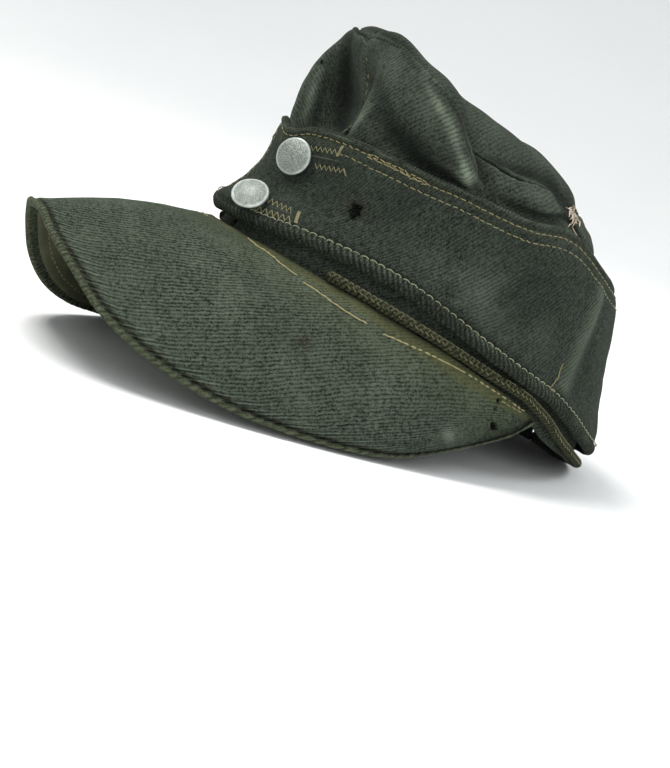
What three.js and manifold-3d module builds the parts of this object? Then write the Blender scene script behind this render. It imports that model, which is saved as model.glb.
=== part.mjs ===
// Peaked field cap with a fold-up flap fastened by two buttons, as it stands by itself on a flat floor.
// Millimetres, +Z up, the front toward -Y, the wearer's left toward +X.
// Every surface is worked out in the cap's own frame (rim plane at z = 0, +Y to the back) and then
// leaned back by REST_TILT, because the drooping peak holds the front of the cap up.
import * as THREE from 'three';
import Module from 'manifold-3d';

// ---- driving dimensions -------------------------------------------------------------------
const RIM_FRONT = 99;            // head opening, middle to front
const RIM_REAR = 93;             // head opening, middle to back
const RIM_SIDE = 81;             // half width of the head opening
const FRONT_TAPER = 0.075;       // how far the front is drawn in from an oval to a blunt point
const CLOTH = 1.6;               // crown cloth
const TUCK_DOWN = 2.8;           // the crown's lower edge reaches down behind the peak's inner seam
const TUCK_IN = 1.5;             // and turns in there
const TOP_CLOTH = 1.6;           // top panel cloth
const LINING = 1.0;              // lining seen through the opened seam
const LINING_DEPTH = 4.6;        // how far it lies under the outer cloth
const FLAP_CLOTH = 2.2;          // flap, two layers
const UNDER_FLAP = 6.6;          // from the flap's outer face in to the middle of the crown wall
const FLAP_ROLL = 3.1;           // half thickness of the fat fold along the flap's lower edge
const FLAP_BEAD = 1.5;           // half thickness of the fold along the flap's upper edge
const BAND_RADIUS = 1.9;         // rolled seam round the crown's lower edge
const BAND_START = 36;           // the rolled seam runs round the back from here, degrees from the front
const PEAK_THICK = 2.4;          // peak cover with its stiffener
const PEAK_EDGE = 1.9;           // half thickness of the wrapped peak edge
const UNDERLAY = 1.0;            // cloth on the underside of the peak
const UNDERLAY_INSET = 4.0;      // how far the underlay stops short of the peak's edge
const PEAK_END_ANGLE = 99;       // where the peak leaves the rim, degrees round from the front
const GAP = 0.35;                // clearance between neighbouring pieces
const BUTTON_RADIUS = 7.3;
const BUTTON_RISE = 1.5;         // dome of the button face
const BUTTON_EDGE = 1.1;         // thickness at the button's edge
const FLAP_EDGE = -8.5;          // front edge of the left flap, which laps over the right, degrees
const FLAP_LAP = 1.0;            // how far the lapping front of the left flap stands out at the buttons
const BUTTON_STAND = 1.7;        // shank between cloth and button
const BUTTON_TURN = 13;          // the buttons lean toward the wearer's left, degrees
const REST_TILT = 15.1;          // degrees the rim plane leans back
const REST_PRESS = 0.9;          // how much soft edge is pressed flat where the cap stands

const DEG = Math.PI / 180;

// ---- tables -------------------------------------------------------------------------------
// Height of the crown's lower edge round the head: level at the front, lower at the nape.
const RIM_LINE = [
  { angle: 0, z: 0 }, { angle: 88, z: 0 }, { angle: 101, z: -3 }, { angle: 112, z: -7.5 },
  { angle: 125, z: -10.5 }, { angle: 142, z: -12 }, { angle: 180, z: -12 },
];
// Outer face of the flap as level sections: half lengths to the front, to the side and to the back.
const FLAP_SECTION = [
  { z: -16, front: 104, side: 87, rear: 99.5 }, { z: -6, front: 104, side: 87, rear: 98.5 },
  { z: 3, front: 101.2, side: 86.5, rear: 96 }, { z: 8, front: 104.6, side: 85.7, rear: 93 },
  { z: 13, front: 102, side: 84.2, rear: 89.8 }, { z: 22, front: 97.3, side: 82.5, rear: 84.5 },
  { z: 31, front: 95.3, side: 80.5, rear: 79.5 }, { z: 43, front: 96.5, side: 78, rear: 73 },
  { z: 55, front: 96, side: 74, rear: 64.5 }, { z: 63, front: 93, side: 67.5, rear: 50.5 },
  { z: 68, front: 91, side: 61, rear: 38.5 }, { z: 75, front: 87, side: 51, rear: 22 },
];
// Lower edge of the flap round the head, and its upper edge on the left and on the right.
const FLAP_LINE = [
  { angle: 0, low: 2.5, left: 44, right: 44 }, { angle: 8, low: 3, left: 48, right: 43.5 },
  { angle: 17, low: 4.5, left: 50.5, right: 43.5 }, { angle: 25, low: 6.5, left: 51.8, right: 44.5 },
  { angle: 35, low: 8.5, left: 53, right: 47 }, { angle: 45, low: 10, left: 54, right: 50.5 },
  { angle: 56, low: 10, left: 56.2, right: 54.5 }, { angle: 66, low: 8.5, left: 57.5, right: 57 },
  { angle: 76, low: 6.5, left: 60, right: 60 }, { angle: 86, low: 5, left: 65, right: 64.5 },
  { angle: 92, low: 4.5, left: 65.2, right: 65 }, { angle: 98, low: 4, left: 64, right: 64 },
  { angle: 109, low: 1, left: 61, right: 61 }, { angle: 122, low: -3, left: 59.2, right: 59.2 },
  { angle: 145, low: -5, left: 60, right: 60 }, { angle: 180, low: -5, left: 60, right: 60 },
];
// Crown side panels: the wall runs up from the rim through a waist (under the flap's edge) and a
// shoulder to the seam of the top panel. One row for each fold or hollow round the crown.
const CROWN_LEFT = [
  { angle: 0, wx: 0, wy: -78, wz: 46, sx: 0, sy: -73, sz: 67, tx: 0, ty: -88, tz: 90 },
  { angle: 8, wx: 9, wy: -80, wz: 47, sx: 9, sy: -77, sz: 69, tx: 9, ty: -90, tz: 91 },
  { angle: 18, wx: 22, wy: -80, wz: 48, sx: 18, sy: -84, sz: 71, tx: 20, ty: -90, tz: 91 },
  { angle: 30, wx: 34, wy: -73, wz: 48, sx: 32, sy: -82, sz: 72, tx: 33, ty: -87, tz: 89 },
  { angle: 42, wx: 46, wy: -62, wz: 48, sx: 44, sy: -73, sz: 72, tx: 42, ty: -82, tz: 86 },
  { angle: 52, wx: 54, wy: -51, wz: 48, sx: 53, sy: -62, sz: 68, tx: 47, ty: -72, tz: 83 },
  { angle: 59, wx: 59, wy: -43, wz: 48, sx: 57, sy: -52, sz: 64, tx: 46, ty: -61, tz: 78 },
  { angle: 65, wx: 60, wy: -35, wz: 48, sx: 50, sy: -44, sz: 64, tx: 43, ty: -51, tz: 72 },
  { angle: 73, wx: 66, wy: -25, wz: 48, sx: 57, sy: -34, sz: 63, tx: 50, ty: -39, tz: 71 },
  { angle: 86, wx: 70, wy: -7, wz: 48, sx: 61, sy: -17, sz: 65, tx: 49, ty: -24, tz: 73 },
  { angle: 100, wx: 69, wy: 11, wz: 48, sx: 58, sy: 2, sz: 67, tx: 44, ty: -8, tz: 77 },
  { angle: 115, wx: 62, wy: 28, wz: 48, sx: 51, sy: 18, sz: 68.5, tx: 39, ty: 9, tz: 77 },
  { angle: 130, wx: 51, wy: 39, wz: 48, sx: 42, sy: 27, sz: 70, tx: 31.5, ty: 22.5, tz: 76.5 },
  { angle: 150, wx: 33, wy: 50, wz: 48, sx: 24, sy: 37, sz: 71.5, tx: 18, ty: 33, tz: 80.5 },
  { angle: 180, wx: 0, wy: 58, wz: 48, sx: 0, sy: 41, sz: 72, tx: 0, ty: 37.5, tz: 81.5 },
];
const CROWN_RIGHT = [
  { angle: 0, wx: 0, wy: -78, wz: 46, sx: 0, sy: -73, sz: 67, tx: 0, ty: -88, tz: 90 },
  { angle: 9, wx: -10, wy: -72, wz: 47, sx: -12, sy: -70, sz: 66, tx: -10, ty: -88, tz: 91.5 },
  { angle: 18, wx: -21, wy: -72, wz: 48, sx: -22, sy: -72, sz: 69, tx: -20, ty: -84, tz: 94 },
  { angle: 27, wx: -33, wy: -80, wz: 50, sx: -32.3, sy: -83, sz: 72, tx: -29, ty: -79.5, tz: 95 },
  { angle: 38, wx: -43, wy: -70, wz: 50, sx: -43, sy: -75, sz: 72, tx: -36, ty: -71, tz: 97 },
  { angle: 50, wx: -51, wy: -54.5, wz: 49, sx: -52.5, sy: -58.5, sz: 72, tx: -43, ty: -61, tz: 95 },
  { angle: 62, wx: -60, wy: -41, wz: 48, sx: -60, sy: -46, sz: 69, tx: -48, ty: -50, tz: 90 },
  { angle: 72, wx: -65, wy: -27, wz: 48, sx: -57, sy: -34, sz: 66, tx: -49, ty: -39, tz: 81 },
  { angle: 86, wx: -69, wy: -7, wz: 48, sx: -58.5, sy: -17, sz: 65, tx: -50, ty: -24, tz: 77 },
  { angle: 100, wx: -68, wy: 11, wz: 48, sx: -55.5, sy: 2, sz: 67, tx: -46, ty: -8, tz: 78 },
  { angle: 115, wx: -62, wy: 28, wz: 48, sx: -51, sy: 18, sz: 68.5, tx: -40, ty: 9, tz: 77 },
  { angle: 130, wx: -51, wy: 39, wz: 48, sx: -42, sy: 27, sz: 70, tx: -31.5, ty: 22.5, tz: 76.5 },
  { angle: 150, wx: -33, wy: 50, wz: 48, sx: -24, sy: 37, sz: 71.5, tx: -18, ty: 33, tz: 80.5 },
  { angle: 180, wx: 0, wy: 58, wz: 48, sx: 0, sy: 41, sz: 72, tx: 0, ty: 37.5, tz: 81.5 },
];
// Top panel: the line along its middle, and how deep it is creased just inside the seam.
const TOP_LINE = [
  { angle: 0, y: -74, z: 95.5, crease: 0.4 }, { angle: 20, y: -70, z: 96, crease: 2.4 },
  { angle: 40, y: -58, z: 93.2, crease: 2.5 }, { angle: 60, y: -43, z: 92.4, crease: 2 },
  { angle: 90, y: -16, z: 92.2, crease: 3 }, { angle: 115, y: 4, z: 92.6, crease: 3.5 },
  { angle: 140, y: 20, z: 91.3, crease: 2 }, { angle: 180, y: 29, z: 89, crease: 0 },
];
// Free edge of the peak from its middle round to its end on the rim; it droops a little more on
// the right than on the left.
const PEAK_LINE = [
  { at: 0, x: 0, y: -172, left: -31.5, right: -31.5 }, { at: 0.05, x: 6.8, y: -171.2, left: -32.5, right: -32 },
  { at: 0.1, x: 13.5, y: -168.9, left: -36, right: -32.5 }, { at: 0.15, x: 20, y: -165.2, left: -39.5, right: -35 },
  { at: 0.2, x: 26.3, y: -160.2, left: -43.2, right: -39.5 }, { at: 0.3, x: 38, y: -147.2, left: -51.6, right: -50.7 },
  { at: 0.4, x: 48.4, y: -131.6, left: -56.4, right: -58.8 }, { at: 0.5, x: 57.8, y: -114.3, left: -58.4, right: -62 },
  { at: 0.6, x: 66.6, y: -95.6, left: -58.2, right: -61 }, { at: 0.7, x: 74.5, y: -75, left: -55, right: -57.5 },
  { at: 0.8, x: 81, y: -52, left: -49.5, right: -51.5 }, { at: 0.87, x: 84.4, y: -34.5, left: -43, right: -44.5 },
  { at: 0.93, x: 86.2, y: -18.8, left: -33, right: -34 }, { at: 0.96, x: 86.9, y: -6, left: -23.8, right: -24.5 },
  { at: 0.985, x: 86.4, y: 6.5, left: -14, right: -14.5 }, { at: 1, x: 84, y: 15.6, left: -5.2, right: -5.2 },
];
// The seam between left panel and top has come open over a short stretch at the back.
const TEAR = { angle: 116, reach: 15, drop: 0.06, back: 0.05 };
// Moth holes: the piece, a place on it, the way through it and the size.
const HOLES = [
  { piece: 'flap_left', x: 37.6, y: -74.9, z: 27.6, dx: 0.5, dy: -0.87, dz: 0, radius: 1.5, depth: 7 },
  { piece: 'peak_cover', x: 85.4, y: -3.8, z: -14.4, dx: 0.85, dy: 0, dz: 0.5, radius: 1.4, depth: 6 },
  { piece: 'crown_right_panel', x: -31.8, y: -81.4, z: 74.9, dx: -0.35, dy: -0.9, dz: 0.2, radius: 1.1, depth: 6 },
];
// Buttons: place on the flap, degrees from the front and height.
const BUTTONS = [
  { name: 'button_upper', angle: 8, z: 34.75 },
  { name: 'button_lower', angle: 7, z: 11.5 },
];

// ---- small maths --------------------------------------------------------------------------
const mix = (a, b, t) => a + (b - a) * t;
const clamp = (v, lo, hi) => Math.min(hi, Math.max(lo, v));
const bump = (v, c, w) => Math.exp(-(((v - c) / w) ** 2));

// A smooth value out of a table, through every row, without overshoot at the ends.
function fromTable(rows, key, column, x) {
  const n = rows.length;
  if (x <= rows[0][key]) return rows[0][column];
  if (x >= rows[n - 1][key]) return rows[n - 1][column];
  let i = 0;
  while (rows[i + 1][key] < x) i++;
  const h = rows[i + 1][key] - rows[i][key];
  const slope = (j) => {
    if (j <= 0 || j >= n - 1) return 0;
    const a = (rows[j][column] - rows[j - 1][column]) / (rows[j][key] - rows[j - 1][key]);
    const b = (rows[j + 1][column] - rows[j][column]) / (rows[j + 1][key] - rows[j][key]);
    return 0.5 * (a + b);
  };
  const t = (x - rows[i][key]) / h;
  const t2 = t * t, t3 = t2 * t;
  return (2 * t3 - 3 * t2 + 1) * rows[i][column] + (t3 - 2 * t2 + t) * h * slope(i)
    + (-2 * t3 + 3 * t2) * rows[i + 1][column] + (t3 - t2) * h * slope(i + 1);
}

// ---- surfaces in the cap's frame ----------------------------------------------------------
const rimHeight = (angle) => fromTable(RIM_LINE, 'angle', 'z', Math.abs(angle));

// The head opening is an oval whose front is drawn in to a blunt point.
const taper = (a) => 1 - (Math.cos(a) > 0 ? FRONT_TAPER * Math.abs(Math.sin(2 * a)) ** 1.3 : 0);
function rimPoint(angle, out = 0) {
  const a = angle * DEG, f = taper(a);
  const end = Math.cos(a) > 0 ? RIM_FRONT : RIM_REAR;
  return [(RIM_SIDE * f + out) * Math.sin(a), -(end * f + out) * Math.cos(a), rimHeight(angle)];
}

// Outer face of the flap at an angle and a height, moved in by some distance.
function flapPoint(angle, z, inward = 0) {
  const a = angle * DEG;
  const c = Math.cos(a), s = Math.sin(a);
  const side = fromTable(FLAP_SECTION, 'z', 'side', z) - inward;
  const end = (c > 0 ? fromTable(FLAP_SECTION, 'z', 'front', z) : fromTable(FLAP_SECTION, 'z', 'rear', z)) - inward;
  return [side * taper(a) * s, -end * taper(a) * c, z];
}
const flapLow = (angle) => fromTable(FLAP_LINE, 'angle', 'low', Math.abs(angle));
const flapHigh = (angle) => fromTable(FLAP_LINE, 'angle', angle < FLAP_EDGE - 0.2 ? 'right' : 'left', Math.abs(angle));

// Crown wall: a smooth line through rim, waist, shoulder and top seam.
function crownPoint(rows, angle, v) {
  const side = rows[2].wx > 0 ? 1 : -1;
  const at = (c) => fromTable(rows, 'angle', c, angle);
  const tuck = clamp((126 - angle) / 18, 0, 1);
  const base = rimPoint(side * angle, -TUCK_IN * tuck);
  base[2] -= TUCK_DOWN * tuck;
  const low = flapPoint(side * angle, mix(base[2], at('wz'), 0.42), UNDER_FLAP);
  const knots = [base, low, [at('wx'), at('wy'), at('wz')], [at('sx'), at('sy'), at('sz')], [at('tx'), at('ty'), at('tz')]];
  const n = knots.length - 1;
  const f = clamp(v, 0, 1) * n;
  const i = Math.min(n - 1, Math.floor(f));
  const t = f - i, t2 = t * t, t3 = t2 * t;
  const p = [];
  for (let k = 0; k < 3; k++) {
    const tangent = (j) => (j <= 0 ? (knots[1][k] - knots[0][k])
      : j >= n ? (knots[n][k] - knots[n - 1][k]) : 0.5 * (knots[j + 1][k] - knots[j - 1][k]));
    p.push((2 * t3 - 3 * t2 + 1) * knots[i][k] + (t3 - 2 * t2 + t) * tangent(i)
      + (-2 * t3 + 3 * t2) * knots[i + 1][k] + (t3 - t2) * tangent(i + 1));
  }
  return p;
}
// Where the flap covers the wall, the wall stays inside it.
function crownAt(angle, v) {
  const p = crownPoint(angle >= 0 ? CROWN_LEFT : CROWN_RIGHT, Math.abs(angle), v);
  const round = Math.atan2(p[0] / RIM_SIDE, -p[1] / RIM_REAR) / DEG;
  const level = clamp(p[2], -16, 75);
  const above = flapPoint(round, level + 1), below = flapPoint(round, level - 1);
  const slope = (Math.hypot(above[0], above[1]) - Math.hypot(below[0], below[1])) / 2;
  const room = Math.max(4.1, 3.6 * Math.hypot(1, slope));
  const edge = flapPoint(round, level, FLAP_CLOTH / 2 + room);
  const ratio = Math.hypot(p[0], p[1]) / Math.hypot(edge[0], edge[1]);
  if (ratio <= 1) return p;
  const hold = clamp((flapHigh(round) + 6.5 - p[2]) / 4, 0, 1);
  const f = mix(1, 1 / ratio, hold * hold * (3 - 2 * hold));
  return [p[0] * f, p[1] * f, p[2]];
}

// Top panel: from the seam in toward its middle line, sagging in a crease and rising in a dome.
function topPoint(angle, w) {
  const s = crownAt(angle, 1);
  const a = Math.abs(angle);
  const at = (c) => fromTable(TOP_LINE, 'angle', c, a);
  const rise = Math.sin(clamp(w, 0, 1) * Math.PI / 2) ** 0.9;
  const x = s[0] * (1 - w);
  const y = mix(s[1], at('y'), w);
  const z = mix(s[2], at('z'), rise) - at('crease') * bump(w, 0.13, 0.12) * clamp(w / 0.05, 0, 1);
  return [x, y, z];
}

// Peak: from the rim seam (w = 0) out to the free edge (w = 1), arched a little between.
function peakPoint(at, w) {
  const a = Math.abs(at), side = at < 0 ? -1 : 1;
  const s = rimPoint(a * PEAK_END_ANGLE, 1.6);
  const e = ['x', 'y', side > 0 ? 'left' : 'right'].map((c) => fromTable(PEAK_LINE, 'at', c, a));
  const arch = 3.5 * Math.sin(Math.PI * w) * (1 - a ** 4);
  const p = [mix(s[0], e[0], w), mix(s[1], e[1], w), mix(s[2] - 1.5, e[2], w) + arch];
  p[0] += arch * 0.6 * Math.sin(a * 90 * DEG);
  return [p[0] * side, p[1], p[2]];
}

// ---- from surfaces to closed bodies -------------------------------------------------------
// Leans the cap back into its standing pose and presses soft edges flat on the floor.
const TILT = REST_TILT * DEG;
const placed = { dy: 0, dz: 0 };
function stand(p) {
  const y = p[1] * Math.cos(TILT) + p[2] * Math.sin(TILT);
  const z = -p[1] * Math.sin(TILT) + p[2] * Math.cos(TILT);
  return [p[0], y + placed.dy, Math.max(0, z + placed.dz)];
}

function normalsOf(grid, nu, nv) {
  const out = [];
  for (let i = 0; i <= nu; i++) for (let j = 0; j <= nv; j++) {
    const at = (a, b) => grid[clamp(a, 0, nu) * (nv + 1) + clamp(b, 0, nv)];
    const du = new THREE.Vector3().subVectors(at(i + 1, j), at(i - 1, j));
    const dv = new THREE.Vector3().subVectors(at(i, j + 1), at(i, j - 1));
    const n = new THREE.Vector3().crossVectors(du, dv);
    // on the middle line both sides share one normal
    if (Math.abs(grid[i * (nv + 1) + j].x) < 1e-4) n.x = 0;
    if (n.lengthSq() < 1e-9) n.set(0, 0, 1); else n.normalize();
    out.push(n);
  }
  return out;
}

// A cloth sheet: a middle surface given as point(u, v), and a half thickness given as half(u, v).
// A sheet that goes all the way round and closes on its own middle line has a wall only at v = 0.
function sheetBody(nu, nv, point, half, keep = (p) => p, closes = false) {
  const mid = [];
  for (let i = 0; i <= nu; i++) for (let j = 0; j <= nv; j++) mid.push(new THREE.Vector3(...point(i / nu, j / nv)));
  const nor = normalsOf(mid, nu, nv);
  const verts = [], tris = [];
  const row = nv + 1, count = (nu + 1) * row;
  for (const sign of [1, -1]) {
    for (let i = 0; i <= nu; i++) for (let j = 0; j <= nv; j++) {
      const k = i * row + j;
      const h = half(i / nu, j / nv) * sign;
      verts.push(...stand(keep([mid[k].x + nor[k].x * h, mid[k].y + nor[k].y * h, mid[k].z + nor[k].z * h])));
    }
  }
  const quad = (a, b, c, d) => { tris.push(a, b, c, a, c, d); };
  for (let i = 0; i < nu; i++) for (let j = 0; j < nv; j++) {
    const a = i * row + j, b = a + row, c = b + 1, d = a + 1;
    quad(a, b, c, d);
    quad(a + count, d + count, c + count, b + count);
  }
  for (let i = 0; i < nu; i++) {
    const a = i * row, b = a + row;
    quad(a, a + count, b + count, b);
    const c = i * row + nv, d = c + row;
    if (!closes) quad(c, d, d + count, c + count);
  }
  for (let j = 0; j < nv && !closes; j++) {
    const a = j, b = j + 1;
    quad(a, b, b + count, a + count);
    const c = nu * row + j, d = c + 1;
    quad(c, c + count, d + count, d);
  }
  return weld(verts, tris);
}

// Joins corners that coincide, drops empty facets and pairs that lie back to back, and turns the
// body outward.
function weld(verts, tris) {
  const key = new Map(), map = [], pos = [];
  for (let i = 0; i < verts.length / 3; i++) {
    const k = [0, 1, 2].map((c) => Math.round(verts[3 * i + c] * 2000)).join(',');
    if (!key.has(k)) { key.set(k, pos.length / 3); pos.push(verts[3 * i], verts[3 * i + 1], verts[3 * i + 2]); }
    map.push(key.get(k));
  }
  const idx = [], seen = new Map();
  for (let t = 0; t < tris.length; t += 3) {
    const k = [map[tris[t]], map[tris[t + 1]], map[tris[t + 2]]].sort((a, b) => a - b).join();
    seen.set(k, (seen.get(k) ?? 0) + 1);
  }
  let volume = 0;
  const v = (i) => new THREE.Vector3(pos[3 * i], pos[3 * i + 1], pos[3 * i + 2]);
  for (let t = 0; t < tris.length; t += 3) {
    const [a, b, c] = [map[tris[t]], map[tris[t + 1]], map[tris[t + 2]]];
    if (a === b || b === c || a === c) continue;
    if (seen.get([a, b, c].sort((p, q) => p - q).join()) > 1) continue;
    idx.push(a, b, c);
    volume += v(a).dot(v(b).cross(v(c)));
  }
  if (volume < 0) for (let t = 0; t < idx.length; t += 3) [idx[t + 1], idx[t + 2]] = [idx[t + 2], idx[t + 1]];
  return { pos, idx };
}

// A closed ring or bar: loops of points joined one to the next, ends capped if it isn't a ring.
function loopBody(loops, ring) {
  const n = loops[0].length, verts = [], tris = [];
  for (const l of loops) for (const p of l) verts.push(...stand(p));
  const m = loops.length;
  for (let i = 0; i < (ring ? m : m - 1); i++) for (let j = 0; j < n; j++) {
    const a = i * n + j, b = i * n + (j + 1) % n, c = ((i + 1) % m) * n + (j + 1) % n, d = ((i + 1) % m) * n + j;
    tris.push(a, b, c, a, c, d);
  }
  if (!ring) {
    for (const [i, turn] of [[0, 1], [m - 1, -1]]) {
      for (let j = 1; j < n - 1; j++) {
        const t = [i * n, i * n + j + 1, i * n + j];
        tris.push(...(turn > 0 ? t : [t[0], t[2], t[1]]));
      }
    }
  }
  return weld(verts, tris);
}

const wasm = await Module();
wasm.setup();
const toManifold = (b) => new wasm.Manifold(new wasm.Mesh({
  numProp: 3, vertProperties: new Float32Array(b.pos), triVerts: new Uint32Array(b.idx),
}));
function fromManifold(m) {
  const mesh = m.getMesh();
  return { pos: Array.from(mesh.vertProperties), idx: Array.from(mesh.triVerts) };
}
// A hole through cloth: an uneven six-sided bar along a direction.
function holeBar(centre, along, radius, length, uneven) {
  const w = new THREE.Vector3(...along).normalize();
  const u = new THREE.Vector3(0, 0, 1).cross(w).normalize();
  const v = w.clone().cross(u);
  const loops = [-0.5, 0.5].map((s) => Array.from({ length: 7 }, (_, k) => {
    const t = k / 7 * 2 * Math.PI;
    const r = radius * (1 + uneven * Math.sin(2.3 * k + 1));
    return [0, 1, 2].map((c) => centre[c] + w.getComponent(c) * s * length
      + u.getComponent(c) * Math.cos(t) * r + v.getComponent(c) * Math.sin(t) * r * 1.25);
  }));
  return loopBody(loops, false);
}

// ---- pieces -------------------------------------------------------------------------------
const SIDES = { left: 1, right: -1 };
const roundEnd = (v, reach) => Math.sqrt(clamp(1 - (1 - clamp(v / reach, 0, 1)) ** 2, 0.04, 1));

function crownPanel(side) {
  const sign = SIDES[side];
  const a0 = 1.1, a1 = 178.9;
  return sheetBody(32, 10,
    (u, v) => {
      const angle = mix(a0, a1, u);
      const torn = sign > 0 ? TEAR.drop * bump(angle, TEAR.angle, TEAR.reach) : 0;
      return crownAt(sign * angle, mix(0, 0.975 - torn, v));
    },
    (u, v) => CLOTH / 2 * (v > 0.99 ? 0.4 : 1),
    (p) => [sign * Math.max(GAP / 2, sign * p[0]), p[1], p[2]]);
}

function crownTop() {
  const n = 40;
  return sheetBody(n, 5,
    (u, w) => {
      const angle = mix(-180, 180, u);
      const torn = TEAR.back * bump(angle, TEAR.angle, TEAR.reach);
      return topPoint(angle, mix(0.03 + torn, 1, w ** 1.15));
    },
    (u, w) => TOP_CLOTH / 2 * (w < 0.01 ? 0.4 : 1),
    (p) => p, true);
}

// The lining that shows through the opened seam: a patch just inside it.
function liningPatch() {
  const centre = [0, -5, 55];
  return sheetBody(8, 4,
    (u, w) => {
      const angle = TEAR.angle + TEAR.reach * mix(-1.4, 1.2, u);
      const p = w < 0.5 ? crownAt(angle, mix(0.8, 1, 2 * w)) : topPoint(angle, mix(0, 0.24, 2 * w - 1));
      const d = [0, 1, 2].map((k) => p[k] - centre[k]);
      const f = 1 - LINING_DEPTH / Math.hypot(...d);
      return [0, 1, 2].map((k) => centre[k] + d[k] * f);
    },
    () => LINING / 2);
}

function crownBand() {
  const loops = [];
  const n = 50;
  for (let i = 0; i <= n; i++) {
    const angle = mix(BAND_START, 360 - BAND_START, i / n);
    const round = angle > 180 ? angle - 360 : angle;
    const c = rimPoint(round, 0);
    const a = angle * DEG;
    const out = [Math.sin(a), -Math.cos(a)];
    const off = CLOTH / 2 + GAP + BAND_RADIUS;
    const free = flapLow(round) - GAP - BAND_RADIUS - c[2] - 0.2;
    const lift = mix(Math.min(3.3, free), BAND_RADIUS + 0.1, clamp((Math.abs(round) - 84) / 14, 0, 1));
    loops.push(Array.from({ length: 8 }, (_, k) => {
      const t = k / 8 * 2 * Math.PI;
      return [c[0] + out[0] * (off + BAND_RADIUS * Math.cos(t)), c[1] + out[1] * (off + BAND_RADIUS * Math.cos(t)),
        c[2] + lift + BAND_RADIUS * Math.sin(t)];
    }));
  }
  return loopBody(loops, false);
}

function flapSheet(side) {
  const [a0, a1] = side === 'left' ? [FLAP_EDGE, 179.85] : [-179.85, FLAP_EDGE - 0.45];
  // rows crowd toward the thick fold at the bottom
  const height = (u, v) => {
    const angle = mix(a0, a1, u), lo = flapLow(angle), hi = flapHigh(angle);
    return [angle, lo, hi, mix(lo, hi, v < 0.4 ? v * v / 0.4 * 0.55 + v * 0.45 : v)];
  };
  return sheetBody(30, 9,
    (u, v) => {
      const [angle, lo, , z] = height(u, v);
      const over = side === 'left' ? 1.4 * bump(angle - FLAP_EDGE, 0, 7) : 0;
      return flapPoint(angle, z, FLAP_CLOTH / 2 + 0.7 * bump(z - lo, 3.2, 3.4) - over);
    },
    (u, v) => {
      const [, lo, hi, z] = height(u, v);
      const roll = (FLAP_ROLL - FLAP_CLOTH / 2) * bump(z - lo, 3.2, 2.6);
      const bead = (FLAP_BEAD - FLAP_CLOTH / 2) * bump(hi - z, 1.6, 1.6);
      return (FLAP_CLOTH / 2 + roll + bead) * roundEnd(z - lo, 2.6) * roundEnd(hi - z, 1.4);
    });
}

// Sections crowd together toward the two ends of the peak, where its outline turns quickest.
const peakAt = (u) => {
  const t = 2 * u - 1;
  return 0.997 * Math.sign(t) * (1 - (1 - Math.abs(t)) ** 1.5);
};
const peakWidthAt = (a) => {
  const s = peakPoint(a, 0), e = peakPoint(a, 1);
  return Math.hypot(s[0] - e[0], s[1] - e[1], s[2] - e[2]);
};
function peakCover() {
  return sheetBody(36, 8,
    (u, w) => peakPoint(peakAt(u), 1 - (1 - w) ** 1.25),
    (u, w) => {
      const a = peakAt(u), ww = 1 - (1 - w) ** 1.25;
      const fromEdge = (1 - ww) * peakWidthAt(a);
      const edge = (PEAK_EDGE - PEAK_THICK / 2) * bump(fromEdge, 1.8, 2.0);
      return (PEAK_THICK / 2 + edge) * roundEnd(fromEdge, 2.0);
    });
}
function peakUnderlay() {
  return sheetBody(26, 4,
    (u, w) => {
      const a = mix(-0.86, 0.86, u);
      const width = peakWidthAt(a);
      const p = peakPoint(a, mix(0.03, 1 - UNDERLAY_INSET / width, w));
      const q = peakPoint(a, mix(0.03, 1 - UNDERLAY_INSET / width, w) + 0.01);
      const r = peakPoint(a + 0.01, mix(0.03, 1 - UNDERLAY_INSET / width, w));
      const n = new THREE.Vector3(q[0] - p[0], q[1] - p[1], q[2] - p[2])
        .cross(new THREE.Vector3(r[0] - p[0], r[1] - p[1], r[2] - p[2])).normalize();
      if (n.z > 0) n.negate();
      const d = PEAK_THICK / 2 + GAP + UNDERLAY / 2 + 0.45;
      return [p[0] + n.x * d, p[1] + n.y * d, p[2] + n.z * d];
    },
    () => UNDERLAY / 2);
}

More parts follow.
